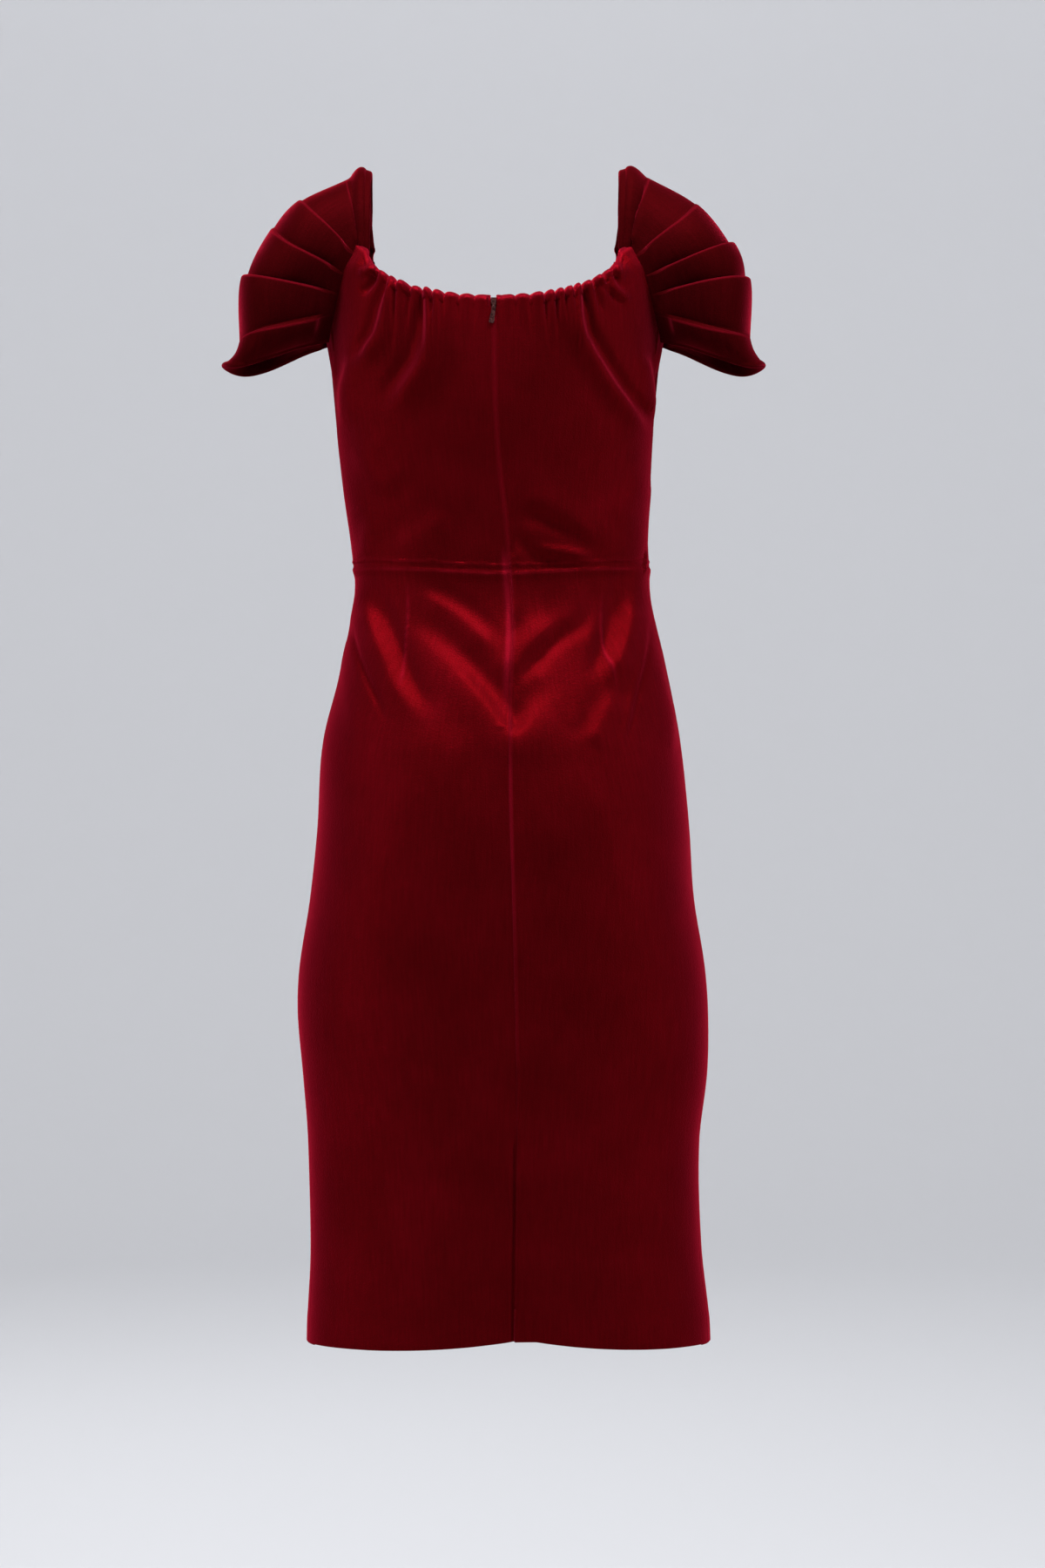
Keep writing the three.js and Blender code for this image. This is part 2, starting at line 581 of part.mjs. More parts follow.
function zipPull() {
  const [t, b, up] = [tab.wideTop / 2, tab.wideEnd / 2, tab.bar / 2];
  const outline = new THREE.Shape();
  outline.moveTo(-t, up);
  outline.lineTo(-t, -4);
  outline.lineTo(-b, -tab.long + 2);
  outline.quadraticCurveTo(-b, -tab.long, 0, -tab.long);
  outline.quadraticCurveTo(b, -tab.long, b, -tab.long + 2);
  outline.lineTo(t, -4);
  outline.lineTo(t, up);
  outline.closePath();
  const [side, low] = [tab.windowWide / 2, -up - tab.windowLong];
  const window = new THREE.Path();
  window.moveTo(-side, -up);
  window.lineTo(side, -up);
  window.lineTo(side, low);
  window.lineTo(-side, low);
  window.closePath();
  outline.holes.push(window);
  return plate(outline, tab.thick, -tab.thick / 2);
}

const dress = new THREE.Group();
function piece(name, shape, material, parent = dress) {
  const mesh = new THREE.Mesh(shape, material);
  mesh.name = name;
  parent.add(mesh);
}

piece("bodice_front", frontBodice(), velvet);
piece("bodice_back_left", backBodice(1), velvet);
piece("bodice_back_right", backBodice(-1), velvet);
piece("skirt_front", skirtFront(), velvet);
piece("skirt_back_left", skirtBackLeft(), velvet);
piece("skirt_back_right", skirtBackRight(), velvet);
piece("sleeve_left", sleeve(sleeveLeft, 1), velvet);
piece("sleeve_right", sleeve(sleeveRight, -1), velvet);
piece("zip_chain", zipChain(), zipTape);

const zipHead = new THREE.Group();
zipHead.position.copy(pivot);
piece("zip_slider", zipSlider(), zipMetal, zipHead);
const hanging = new THREE.Group();
hanging.rotation.y = tabLean;
piece("zip_pull", zipPull(), zipMetal, hanging);
zipHead.add(hanging);
dress.add(zipHead);

export default dress;
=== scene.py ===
import math
import bmesh
import bpy
import numpy as np
from mathutils import Matrix, Vector


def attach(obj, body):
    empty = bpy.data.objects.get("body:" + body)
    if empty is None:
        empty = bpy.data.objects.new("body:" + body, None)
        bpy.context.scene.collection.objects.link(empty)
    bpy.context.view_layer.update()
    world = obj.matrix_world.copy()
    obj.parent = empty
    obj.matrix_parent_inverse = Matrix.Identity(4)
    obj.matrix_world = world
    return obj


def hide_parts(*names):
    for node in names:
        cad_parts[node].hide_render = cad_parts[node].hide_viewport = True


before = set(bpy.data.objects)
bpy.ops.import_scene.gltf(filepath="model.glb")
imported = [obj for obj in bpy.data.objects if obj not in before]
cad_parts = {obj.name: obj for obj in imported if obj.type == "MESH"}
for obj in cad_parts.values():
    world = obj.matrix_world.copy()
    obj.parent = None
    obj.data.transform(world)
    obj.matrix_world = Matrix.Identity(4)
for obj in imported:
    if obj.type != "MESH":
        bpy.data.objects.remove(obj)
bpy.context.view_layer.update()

# Sizes in the dress are millimetres, as in the cutting sheet, and turn to metres when a piece is placed.
# Seen from behind: +X is the wearer's left, +Y is the back, +Z is up.
mm = 0.001

# the camera stands behind the dress, level with the hips
cameraSet = {"x": -0.0215, "y": 3.8, "z": -0.5247, "frameHigh": 1.332, "sensor": 36}
camData = bpy.data.cameras.new("camera")
camData.sensor_fit = "VERTICAL"
camData.sensor_height = cameraSet["sensor"]
camData.lens = cameraSet["sensor"] * cameraSet["y"] / cameraSet["frameHigh"]
camera = bpy.data.objects.new("camera", camData)
camera.location = (cameraSet["x"], cameraSet["y"], cameraSet["z"])
camera.rotation_euler = (math.radians(90), 0, math.radians(180))
bpy.context.collection.objects.link(camera)
bpy.context.scene.camera = camera
bpy.context.scene.view_settings.view_transform = "Standard"
print("camera placed")


def linearColour(hexText, alpha=1.0):
    parts = [int(hexText[i:i + 2], 16) / 255 for i in (1, 3, 5)]
    return tuple(c / 12.92 if c <= 0.04045 else ((c + 0.055) / 1.055) ** 2.4 for c in parts) + (alpha,)


def wire(tree, node, settings, links):
    # settings: socket or property values, links: input socket -> (node, output socket)
    for key, value in settings.items():
        if key in node.inputs:
            node.inputs[key].default_value = value
        else:
            setattr(node, key, value)
    for key, (source, output) in links.items():
        tree.links.new(source.outputs[output], node.inputs[key])


def addNode(tree, kind, settings=None, links=None):
    node = tree.nodes.new(kind)
    wire(tree, node, settings or {}, links or {})
    return node


def colourRamp(tree, source, output, stops):
    # stops: (place, colour) of the first and the last step, then of any between them
    node = addNode(tree, "ShaderNodeValToRGB", {}, {"Fac": (source, output)})
    steps = node.color_ramp.elements
    for k, (place, colour) in enumerate(stops):
        step = steps[k] if k < 2 else steps.new(place)
        step.position, step.color = place, linearColour(colour)
    return node


def newMaterial(name):
    material = bpy.data.materials.new(name)
    material.use_nodes = True
    tree = material.node_tree
    shader = tree.nodes["Principled BSDF"]
    return material, tree, shader


velvetSet = {
    "body": {"deep": "#400203", "mid": "#4e0306", "brushed": "#5e040b", "metal": 0.66, "rough": 0.47,
             "sheenWeight": 0.39, "sheenRough": 0.46},
    # the sleeves' copy: its darker colours are painted shade; its lower metallic and sharper sheen are for
    # the nap running across
    "sleeve": {"deep": "#2c0203", "mid": "#360305", "brushed": "#400408", "metal": 0.2, "rough": 0.5,
               "sheenWeight": 0.5, "sheenRough": 0.3},
    "sheen": "#ff2e54",
    "crest": "#930f24",  # painted highlight: the bright colour mixed in along seams, crests and the neck edge, where the pile would catch the light
    "pileMm": 1.4,  # real pile is finer, about 0.1 mm: drawn this coarse so that it shows
    "streakMm": (1.8, 30.0),  # nap streaks, across and along
    "cloudMm": 60.0,  # patches where the pile leans another way
    "napBump": (0.2, 0.5), "pileBump": (0.85, 0.46),  # strength and height in mm
}


def stretchVelvet(name, kind):
    # stretch velvet: cut pile on a knit back. End on it swallows light, aslant it shines in its own colour.
    material, tree, shader = newMaterial(name)
    v, look = velvetSet, velvetSet[kind]
    coords = addNode(tree, "ShaderNodeTexCoord")
    flat = addNode(tree, "ShaderNodeUVMap", {"uv_map": "cloth"})
    across, along = (1 / (s * mm) for s in v["streakMm"])
    lay = addNode(tree, "ShaderNodeMapping", {"Scale": (across, along, 1)}, {"Vector": (flat, "UV")})
    streaks = addNode(tree, "ShaderNodeTexNoise", {"Scale": 1.0, "Detail": 4.0, "Roughness": 0.6},
                      {"Vector": (lay, "Vector")})
    ownPlace = {"Vector": (coords, "Object")}
    clouds = addNode(tree, "ShaderNodeTexNoise",
                     {"Scale": 1 / (v["cloudMm"] * mm), "Detail": 3.0, "Roughness": 0.55}, ownPlace)
    pile = addNode(tree, "ShaderNodeTexNoise",
                   {"Scale": 1 / (v["pileMm"] * mm), "Detail": 2.0, "Roughness": 0.7}, ownPlace)
    # a mix node's inputs by number: 0 is the share, 2 and 3 are its values, 6 and 7 its colours
    blend = addNode(tree, "ShaderNodeMix", {"data_type": "FLOAT"}, {2: (clouds, "Fac"), 3: (streaks, "Fac")})
    blend.inputs[0].default_value = 0.5
    tone = colourRamp(tree, blend, "Result",
                      ((0.25, look["deep"]), (0.78, look["brushed"]), (0.5, look["mid"])))
    # painted highlight: the colour turns towards the bright crest colour along seams, crests and the neck
    # edge
    painted_highlight = addNode(tree, "ShaderNodeAttribute", {"attribute_name": "painted_highlight"})
    shade = addNode(tree, "ShaderNodeMix", {"data_type": "RGBA"}, {0: (painted_highlight, "Fac"), 6: (tone, "Color")})
    shade.inputs[7].default_value = linearColour(v["crest"])
    nap = addNode(tree, "ShaderNodeBump", {"Strength": v["napBump"][0], "Distance": v["napBump"][1] * mm},
                  {"Height": (streaks, "Fac")})
    grain = addNode(tree, "ShaderNodeBump", {"Strength": v["pileBump"][0], "Distance": v["pileBump"][1] * mm},
                    {"Height": (pile, "Fac"), "Normal": (nap, "Normal")})
    shine = linearColour(v["sheen"])
    wire(tree, shader, {
        "Roughness": look["rough"], "Metallic": look["metal"], "Specular IOR Level": 0.0,
        "Specular Tint": shine, "Sheen Weight": look["sheenWeight"], "Sheen Roughness": look["sheenRough"],
        "Sheen Tint": shine}, {"Base Color": (shade, 2), "Normal": (grain, "Normal")})
    return material


zincSet = {"enamel": "#36100f", "worn": "#6a3b37", "wearMm": 1.4, "rough": (0.2, 0.36), "metal": 0.35}
tapeSet = {"dark": "#1f0408", "light": "#3a0a12", "weaveMm": 2.4, "rough": 0.7}
coilSet = {"dark": "#2a060b", "light": "#43131a", "speckMm": 0.9, "rough": 0.35}


def enamelledZinc():
    # die-cast zinc under dark red enamel: satin, with paler worn spots
    material, tree, shader = newMaterial("enamelled zinc")
    coords = addNode(tree, "ShaderNodeTexCoord")
    wear = addNode(tree, "ShaderNodeTexNoise", {"Scale": 1 / (zincSet["wearMm"] * mm), "Detail": 4.0},
                   {"Vector": (coords, "Object")})
    tone = colourRamp(tree, wear, "Fac", ((0.45, zincSet["enamel"]), (0.75, zincSet["worn"])))
    least, most = zincSet["rough"]
    rough = addNode(tree, "ShaderNodeMapRange", {"To Min": least, "To Max": most}, {"Value": (wear, "Fac")})
    bump = addNode(tree, "ShaderNodeBump", {"Strength": 0.1, "Distance": 0.05 * mm},
                   {"Height": (wear, "Fac")})
    wire(tree, shader, {"Metallic": zincSet["metal"]},
         {"Base Color": (tone, "Color"), "Roughness": (rough, "Result"), "Normal": (bump, "Normal")})
    return material


def wovenTape():
    # polyester zip tape: a fine herringbone, flat dark red
    material, tree, shader = newMaterial("woven polyester tape")
    coords = addNode(tree, "ShaderNodeTexCoord")
    weave = addNode(tree, "ShaderNodeTexWave",
                    {"Scale": 1 / (tapeSet["weaveMm"] * mm), "Distortion": 0.6, "Detail": 1.0,
                     "bands_direction": "DIAGONAL"}, {"Vector": (coords, "Object")})
    tone = colourRamp(tree, weave, "Fac", ((0, tapeSet["dark"]), (1, tapeSet["light"])))
    bump = addNode(tree, "ShaderNodeBump", {"Strength": 0.5, "Distance": 0.1 * mm},
                   {"Height": (weave, "Fac")})
    wire(tree, shader, {"Roughness": tapeSet["rough"]},
         {"Base Color": (tone, "Color"), "Normal": (bump, "Normal")})
    return material


def nylonCoil():
    # moulded nylon coil: dark and slightly glossy
    material, tree, shader = newMaterial("nylon coil")
    coords = addNode(tree, "ShaderNodeTexCoord")
    speck = addNode(tree, "ShaderNodeTexNoise", {"Scale": 1 / (coilSet["speckMm"] * mm)},
                    {"Vector": (coords, "Object")})
    tone = colourRamp(tree, speck, "Fac", ((0, coilSet["dark"]), (1, coilSet["light"])))
    wire(tree, shader, {"Roughness": coilSet["rough"]}, {"Base Color": (tone, "Color")})
    return material


velvet = stretchVelvet("stretch velvet", "body")
# the sleeves' velvet has darker colours as painted shade
crossVelvet = stretchVelvet("stretch velvet, nap across, painted darker", "sleeve")
zinc, tapeCloth, coilNylon = enamelledZinc(), wovenTape(), nylonCoil()
print("materials made")

# the worn form: z, half its width, its middle, and its depth to the front and the back
formTable = np.array([
    (0, 147, 2.5, 48, 70), (-72, 146, 2.6, 64, 78), (-144, 141.5, 2.2, 97, 86), (-206, 136, 2, 110, 83),
    (-266, 131.2, 0.4, 101, 75), (-325, 126, -1.9, 91, 68), (-369, 124.7, -3.8, 89, 67),
    (-414, 135, -5.4, 94, 80), (-473, 149, -3.8, 101, 101), (-502, 153.5, -3.8, 103, 110),
    (-562, 158, -5.8, 103, 118), (-621, 163, -4.3, 100, 117), (-680, 172.2, -4.4, 97, 112),
    (-720, 174.2, -5, 95, 108), (-769, 171.6, -6.5, 93, 104), (-828, 166, -5.8, 91, 100),
    (-917, 166, -7.2, 88, 97), (-976, 170.6, -9, 87, 96), (-1000, 171.4, -9.3, 87, 96)])
half, shift, front, back = 1, 2, 3, 4  # columns after z
roundness = 2.25
backSeamTable = np.array([
    (-118, 2.6), (-213, 1.0), (-264, -2.6), (-300, -7.0), (-347, -10.6), (-389, -13.6), (-455, -11.0),
    (-540, -11.2), (-630, -13.8), (-806, -17.4), (-980, -15.7)])

cut = {
    "sideSeam": 8, "waistZ": -343, "waistDip": 6, "hemZ": -996, "hemLift": 11,
    "shoulderZ": -72, "armpitZ": -148, "armhole": 19.7, "neckHalf": 111, "backNeck": 46.5, "frontNeck": 76,
    "ventTop": -806, "underlap": 36, "underlapDrop": 2.5, "notchWide": 3.5, "notchHigh": 26,
    "cloth": 0.9, "fold": 0.55, "sewn": 0.32, "seamAllowance": 9, "hemTurn": 26, "neckTurn": 9,
    "neckRoll": 4.6, "middleX": 2.5, "cornerX": 122, "cornerWide": 11, "cornerLean": 9, "cornerRound": 4,
    "neckLevel": 20, "scoopPower": 2.6, "hemWide": 62, "hemPower": 1.6,  # the curves of the neck and the hem
    "ventOpens": (4, 26), "tuck": (0.9, 0.006),  # mm under the vent's top, and how deep and wide the tuck is
}


def smoothTable(table, at, column):
    # a smooth curve through one column of a table that runs along its first column
    keys = table[:, 0]
    values = table[:, column]
    if keys[0] > keys[-1]:
        keys, values = keys[::-1], values[::-1]
    at = np.clip(at, keys[0], keys[-1])
    slopes = np.gradient(values, keys)
    slopes[1:-1] = (values[2:] - values[:-2]) / (keys[2:] - keys[:-2])
    i = np.clip(np.searchsorted(keys, at) - 1, 0, len(keys) - 2)
    span = keys[i + 1] - keys[i]
    t = (at - keys[i]) / span
    stay = 1 - t
    return (values[i] * (1 + 2 * t) * stay ** 2 + values[i + 1] * (3 - 2 * t) * t ** 2
            + slopes[i] * span * t * stay ** 2 - slopes[i + 1] * span * t ** 2 * stay)


def ease(value, low, high):
    t = np.clip((value - low) / (high - low), 0, 1)
    return t * t * (3 - 2 * t)


def mix(a, b, t):
    return a + (b - a) * t


def line(distance, wide):
    # a soft line: 1 in its middle, fading to both sides
    return np.exp(-(distance / wide) ** 2)


def skin(angle, z):
    # a point of the form: 0 degrees is the wearer's left side, 90 the middle of the back
    turn = np.radians(angle)
    c, s = np.cos(turn), np.sin(turn)
    wide = smoothTable(formTable, z, half)
    deep = np.where(s > 0, smoothTable(formTable, z, back), smoothTable(formTable, z, front))
    radius = ((np.abs(c) / wide) ** roundness + (np.abs(s) / deep) ** roundness) ** (-1 / roundness)
    return np.stack([smoothTable(formTable, z, shift) + radius * c, radius * s, z + 0 * radius], -1)


def unit(v):
    return v / np.maximum(np.linalg.norm(v, axis=-1, keepdims=True), 1e-9)


def skinNormal(angle, z):
    along = skin(angle + 0.4, z) - skin(angle - 0.4, z)
    up = skin(angle, z + 2) - skin(angle, z - 2)
    return unit(np.cross(along, up))


def mmPerDegree(angle, z):
    return np.linalg.norm(skin(angle + 0.5, z) - skin(angle - 0.5, z), axis=-1)


def backSeamAngle(z):
    x = smoothTable(backSeamTable, z, 1) - smoothTable(formTable, z, shift)
    wide, deep = smoothTable(formTable, z, half), smoothTable(formTable, z, back)
    y = deep * (1 - (np.abs(x) / wide) ** roundness) ** (1 / roundness)
    return np.degrees(np.arctan2(y, x))


def topLine(angle):
    # upper edge of the bodice: armhole, shoulder and scoop
    angle = np.asarray(angle, float)
    fromSide = np.minimum(np.minimum(np.abs(angle), np.abs(180 - angle)), np.abs(angle + 180))
    arm = cut["armpitZ"] + (cut["shoulderZ"] - cut["armpitZ"]) * np.minimum(fromSide / cut["armhole"], 1) ** 2
    level = cut["shoulderZ"] - cut["neckLevel"]
    across = np.abs(skin(angle, level)[..., 0] - smoothTable(formTable, level, shift)) / cut["neckHalf"]
    depth = np.where(np.sin(np.radians(angle)) > 0, cut["backNeck"], cut["frontNeck"])
    scoop = cut["shoulderZ"] - depth * (1 - np.minimum(across, 1) ** cut["scoopPower"]) ** (1 / 1.6)
    return np.where(fromSide < cut["armhole"], arm, scoop)


def waistLine(angle):
    return cut["waistZ"] - cut["waistDip"] * np.maximum(np.sin(np.radians(angle)), 0) ** 2


def hemLine(angle):
    fromVent = np.abs(angle - backSeamAngle(cut["hemZ"])) / cut["hemWide"]
    return cut["hemZ"] + cut["hemLift"] * np.maximum(1 - fromVent, 0) ** cut["hemPower"]


# folds: each is a soft ridge along a path of (x, z), then its width and height, its trough (the sign says on
# which side) and the share of its height at its start
backFolds = [
    # from the gathers down over the shoulder blades
    ([(84, -107), (88.6, -115), (91.6, -125), (95, -138), (98.3, -149), (105, -159), (111, -168),
      (117, -179)], 4.8, 5.4, 0.6, 0.8),
    ([(54.7, -112), (52.3, -125), (53, -138), (56.3, -158), (62.3, -175), (71, -189), (82, -205),
      (94, -222)], 7, 6.6, 0.5, 0.5),
    ([(-62, -112), (-63.7, -122), (-67.5, -140), (-72.4, -153), (-79.5, -166), (-87, -178), (-97, -193),
      (-108, -207), (-118.7, -220), (-126, -233)], 4.8, 5.8, -0.6, 0.6),
    ([(-121, -160), (-126, -179), (-129, -197), (-130.6, -216)], 4.6, 4.2, -0.5, 0),
    ([(121, -156), (123, -176), (128, -193), (128, -209), (126, -230)], 6, 3.8, 0.3, 0),
    ([(-87, -104), (-101, -115), (-112, -121)], 2.2, 2.4, 0.5, 0.8),
    ([(-93.7, -96), (-104, -98.5)], 1.8, 1.8, 0.4, 0.8),
    ([(101, -95.5), (109, -97), (116, -99)], 1.8, 1.8, -0.4, 0.8),
    ([(98, -99), (105, -107), (115, -116)], 3.6, -3, 0, 0.8),
    # soft drag lines above the waist
    ([(-20, -283), (-51, -297), (-98, -326)], 7, 3, 0.4, 0),
    ([(-18, -304), (-41, -326), (-84, -333)], 6, 2.4, 0.4, 0),
    ([(-20, -325), (-45, -329.5), (-64.5, -332), (-84, -334)], 3.5, 2, -0.4, 0),
    ([(120, -236), (104, -262), (80, -286)], 9, 2.4, 0.3, 0),
    ([(36, -300), (62, -316), (92, -330)], 9, 2.2, 0.3, 0),
    ([(104, -300), (110, -318), (112, -336)], 6, 1.4, 0.3, 0),
    ([(-128, -262), (-112, -284), (-92, -304)], 8, 1.7, 0.3, 0),
    # the pull from the hips down to the end of the zip
    ([(90, -386), (70.3, -401), (54.8, -413), (39.4, -428), (24, -445), (11, -460.5), (2, -473), (-6, -482),
      (-15, -486.5), (-24, -483), (-31.4, -474.8), (-39, -464), (-49, -455), (-63, -444)], 9.5, 4.1,
      -0.9, 0),
    ([(75, -360), (57.6, -370.5), (42.1, -379.6), (26.6, -390.6), (13.7, -403.5), (0, -420)], 7, 2.5, -0.6,
      0),
    ([(127, -350), (114.6, -372.3), (106.8, -389), (99.3, -407), (91.2, -425), (84.7, -442), (73.6, -461.5),
      (58, -482)], 8, 5.2, -0.6, 0),
    ([(124, -382), (117, -410), (109, -433), (99, -455), (88, -480)], 3, -1.8, 0, 0),
    ([(-52, -385), (-40, -397), (-30, -407), (-20.4, -418), (-14.6, -430), (-12, -444)], 6.5, 3.4, -0.6, 0),
    ([(-84, -376), (-64.3, -394.5), (-48.8, -407.5), (-37.2, -423), (-29, -434)], 8, -2.6, 0, 0),
    ([(-121, -350), (-114.3, -376), (-111.7, -389), (-107.9, -404.5), (-102.7, -418.7), (-97.5, -432),
      (-92, -447)], 8.5, 5.4, 0.6, 0.4),
    ([(-98, -444), (-90, -467), (-83.6, -481), (-76, -496)], 7, 2.4, 0.3, 0),
    ([(-126.4, -372), (-122, -412), (-115.4, -445.6), (-109, -473), (-103, -496)], 2.2, 1.1, -0.5, 0),
    ([(-129, -388), (-137, -437), (-144.6, -470), (-145, -512)], 6, 2.6, -0.4, 0),
    ([(128, -392), (124, -425), (120, -458), (112, -500)], 9, 2.2, 0.2, 0),
    ([(-15.5, -336), (-17, -352), (-16.5, -375), (-14, -398)], 4, 2.6, 0.3, 0.9),
    ([(4, -478.5), (-10, -478), (-19, -478.3)], 1.3, 1.1, 0, 0),
    ([(-72, -352), (-66, -378), (-58, -402)], 6, 1.4, -0.4, 0),
    ([(64, -500), (90, -560), (104, -640)], 16, 1.6, 0, 0),
    ([(-60, -500), (-92, -570), (-112, -650)], 16, 1.5, 0, 0),
]
frontFolds = [
    ([(100, -358), (84, -396), (56, -428), (22, -450)], 9, 4.4, -0.4, 0),
    ([(-98, -360), (-86, -398), (-60, -430), (-30, -446)], 8, 4, 0.4, 0),
    ([(70, -352), (52, -374), (22, -392)], 7, 2.7, -0.4, 0),
    ([(-72, -352), (-54, -372), (-30, -388)], 6.5, 2.4, 0.4, 0),
    ([(108, -150), (92, -184), (74, -204)], 7, 4, 0.4, 0),
    ([(-104, -148), (-92, -182), (-76, -206)], 7.5, 4.2, -0.4, 0),
    ([(92, -250), (70, -280), (40, -300)], 9, 2.4, 0.3, 0),
    ([(-94, -256), (-74, -286), (-46, -304)], 9, 2.6, -0.3, 0),
    ([(98, -318), (70, -330), (36, -334)], 7, 1.3, 0.3, 0),
    ([(118, -384), (112, -440), (100, -490)], 8, 1.8, 0.3, 0),
    ([(-122, -384), (-118, -436), (-108, -492)], 8, 1.8, 0.3, 0),
    ([(50, -480), (80, -560), (96, -660)], 18, 1.6, 0, 0),
    ([(-54, -480), (-86, -560), (-106, -660)], 18, 1.5, 0, 0),
]
dartsBack = [
    ([(74.5, -350), (74.5, -384), (77.8, -423), (80.1, -448)], 1.3, 0.9, 0, 0),
    ([(-89, -350), (-87.7, -389), (-90.3, -412), (-95.5, -427), (-102, -453)], 1.3, 0.9, 0, 0),
]
dartsFront = [
    ([(68, -344), (72, -380), (78, -424)], 1.6, -0.9, 0, 0),
    ([(-74, -344), (-78, -380), (-84, -424)], 1.6, -0.9, 0, 0),
]
darts = dartsBack, dartsFront
folds = backFolds + dartsBack, frontFolds + dartsFront

# a fold's section in widths: how far it reaches, its gentle side and its trough, and the share of its path
# that each end fades over
foldSet = {"reach": 5, "gentle": 2.1, "troughAt": 1.9, "troughNear": 1.3, "troughFar": 0.95, "fade": 0.3}


def smoothPath(points, steps=14):
    # a curve through the points
    p = np.array(points, float)
    p = np.vstack([2 * p[0] - p[1], p, 2 * p[-1] - p[-2]])
    out = []
    for k in range(1, len(p) - 2):
        a, b, c, d = p[k - 1], p[k], p[k + 1], p[k + 2]
        for t in np.arange(steps) / steps:
            out.append(0.5 * (2 * b + (c - a) * t + (2 * a - 5 * b + 4 * c - d) * t ** 2
                              + (3 * b - a - 3 * c + d) * t ** 3))
    out.append(p[-2])
    return np.array(out)


def foldHeight(rows, x, z):
    total = np.zeros_like(x)
    for points, wide, high, trough, begins in rows:
        path = smoothPath(points)
        reach = wide * foldSet["reach"]
        near = ((x > path[:, 0].min() - reach) & (x < path[:, 0].max() + reach)
                & (z > path[:, 1].min() - reach) & (z < path[:, 1].max() + reach))
        if not near.any():
            continue
        nx, nz = x[near][:, None] - path[:, 0], z[near][:, None] - path[:, 1]
        away = nx ** 2 + nz ** 2
        k = away.argmin(1)
        each = np.arange(len(k))
        way = np.gradient(path, axis=0)[k]
        side = np.sign(way[:, 0] * nz[each, k] - way[:, 1] * nx[each, k])
        d = np.sqrt(away[each, k]) * side / wide
        t = k / (len(path) - 1)
        strength = mix(begins, 1, ease(t, 0, foldSet["fade"])) * ease(1 - t, 0, foldSet["fade"])
        if trough:
            # steep towards its trough, gentle on the other side
            d = d * np.sign(trough)
            past = d - foldSet["troughAt"]
            dip = line(past, np.where(past > 0, foldSet["troughFar"], foldSet["troughNear"]))
            shape = line(d, np.where(d > 0, 1, foldSet["gentle"])) - abs(trough) * dip
        else:
            shape = line(d, 1)
        total[near] += high * strength * shape
    return total


# gathers at the neck: one row for each ridge, at its place across the neck
backGathers = np.array([  # x, height, length, lean
    (-108, 1.6, 22, -14), (-99, 2.4, 30, -12), (-92.5, 2.2, 24, -12), (-85, 3, 40, -11),
    (-76, 2.6, 30, -8), (-68, 4.2, 62, -4), (-60, 2.6, 28, -4), (-53, 3, 34, -3), (-45, 3.2, 40, -4),
    (-35, 2.6, 30, -3), (-21, 1.8, 24, -1), (-10, 1.4, 20, 0), (2, 0.6, 14, 0), (12, 1.2, 20, 0),
    (24, 2, 32, 1), (38, 2.2, 26, 3), (49, 2.8, 36, 2), (58, 4, 62, -4), (67, 2.8, 30, 4),
    (78, 3.4, 42, 5), (88, 3.4, 56, 5), (96, 2.6, 30, 8), (104, 2, 26, 10), (112, 1.4, 20, 12)])
frontGathers = np.array([
    (-108, 1.4, 20, -10), (-98, 2.2, 26, -9), (-89, 2.4, 34, -8), (-80, 2.6, 30, -6), (-70, 3, 44, -6),
    (-61, 2.4, 30, -4), (-52, 2.8, 36, -4), (-42, 2.2, 28, -3), (-33, 2.6, 34, -2), (-22, 2, 26, -1),
    (-11, 2.2, 30, 0), (1, 1.8, 24, 0), (12, 2.2, 32, 0), (22, 2, 26, 1), (32, 2.6, 36, 2),
    (43, 2.4, 28, 3), (53, 3, 42, 4), (62, 2.4, 30, 4), (72, 2.8, 38, 6), (81, 2.6, 32, 6),
    (90, 2.4, 36, 8), (99, 2, 26, 9), (109, 1.4, 20, 10)])
gathers = backGathers, frontGathers

# what the tables' heights and lengths are multiplied by, how fast a ridge fades, its roundness and its valley
gatherSet = {"swell": 2.3, "stretch": 1.3, "fade": 1.2, "round": 0.7, "valley": 0.4, "lift": 0.36}


def gatherHeight(table, x, below):
    # rounded ridges with sharp valleys between them, fading down the cloth
    length = gatherSet["stretch"] * np.interp(x, table[:, 0], table[:, 2])
    lean = np.interp(x, table[:, 0], table[:, 3])
    t = np.clip(below / length, 0, 1)
    moved = x - lean * np.clip(below / length, 0, 1.2)
    ridge = np.interp(moved, table[:, 0], np.arange(len(table)))
    phase = ridge - np.floor(ridge)
    high = np.interp(moved, table[:, 0], table[:, 1])
    wave = np.abs(np.cos(np.pi * phase)) ** gatherSet["round"] - gatherSet["valley"]
    return gatherSet["swell"] * high * (1 - t) ** gatherSet["fade"] * wave


def softWaves(angle, z):
    # the slight unevenness of worn cloth
    a = np.radians(angle)
    return (0.35 * np.sin(3 * a + z / 38 + 0.6) * np.sin(z / 61 + 1.1) + 0.3 * np.sin(5 * a - z / 47 + 2.0)
            + 0.22 * np.sin(9 * a + z / 83 + 4.0))


seamSet = {
    "lift": 1.2, "liftWide": (1.8, 4.5),  # the waist seam stands out: how wide above and below it
    "allowance": 0.8, "allowanceUp": 7, "allowanceWide": 1.1,  # its allowance shows through above it
    "middle": 1.0, "middleWide": 1.3, "middleTop": -118, "hem": 0.25,
}
bustSet = {"x": 66, "z": -212, "reach": 56, "high": 9}


def inNeck(x):
    return ease(cut["neckHalf"] + 16 - np.abs(x), 0, 14)


def onBody(angle, z):
    # where a point of the form is across the dress, and whether it is behind
    place = skin(angle, z)
    return place[..., 0], place[..., 1] > 0


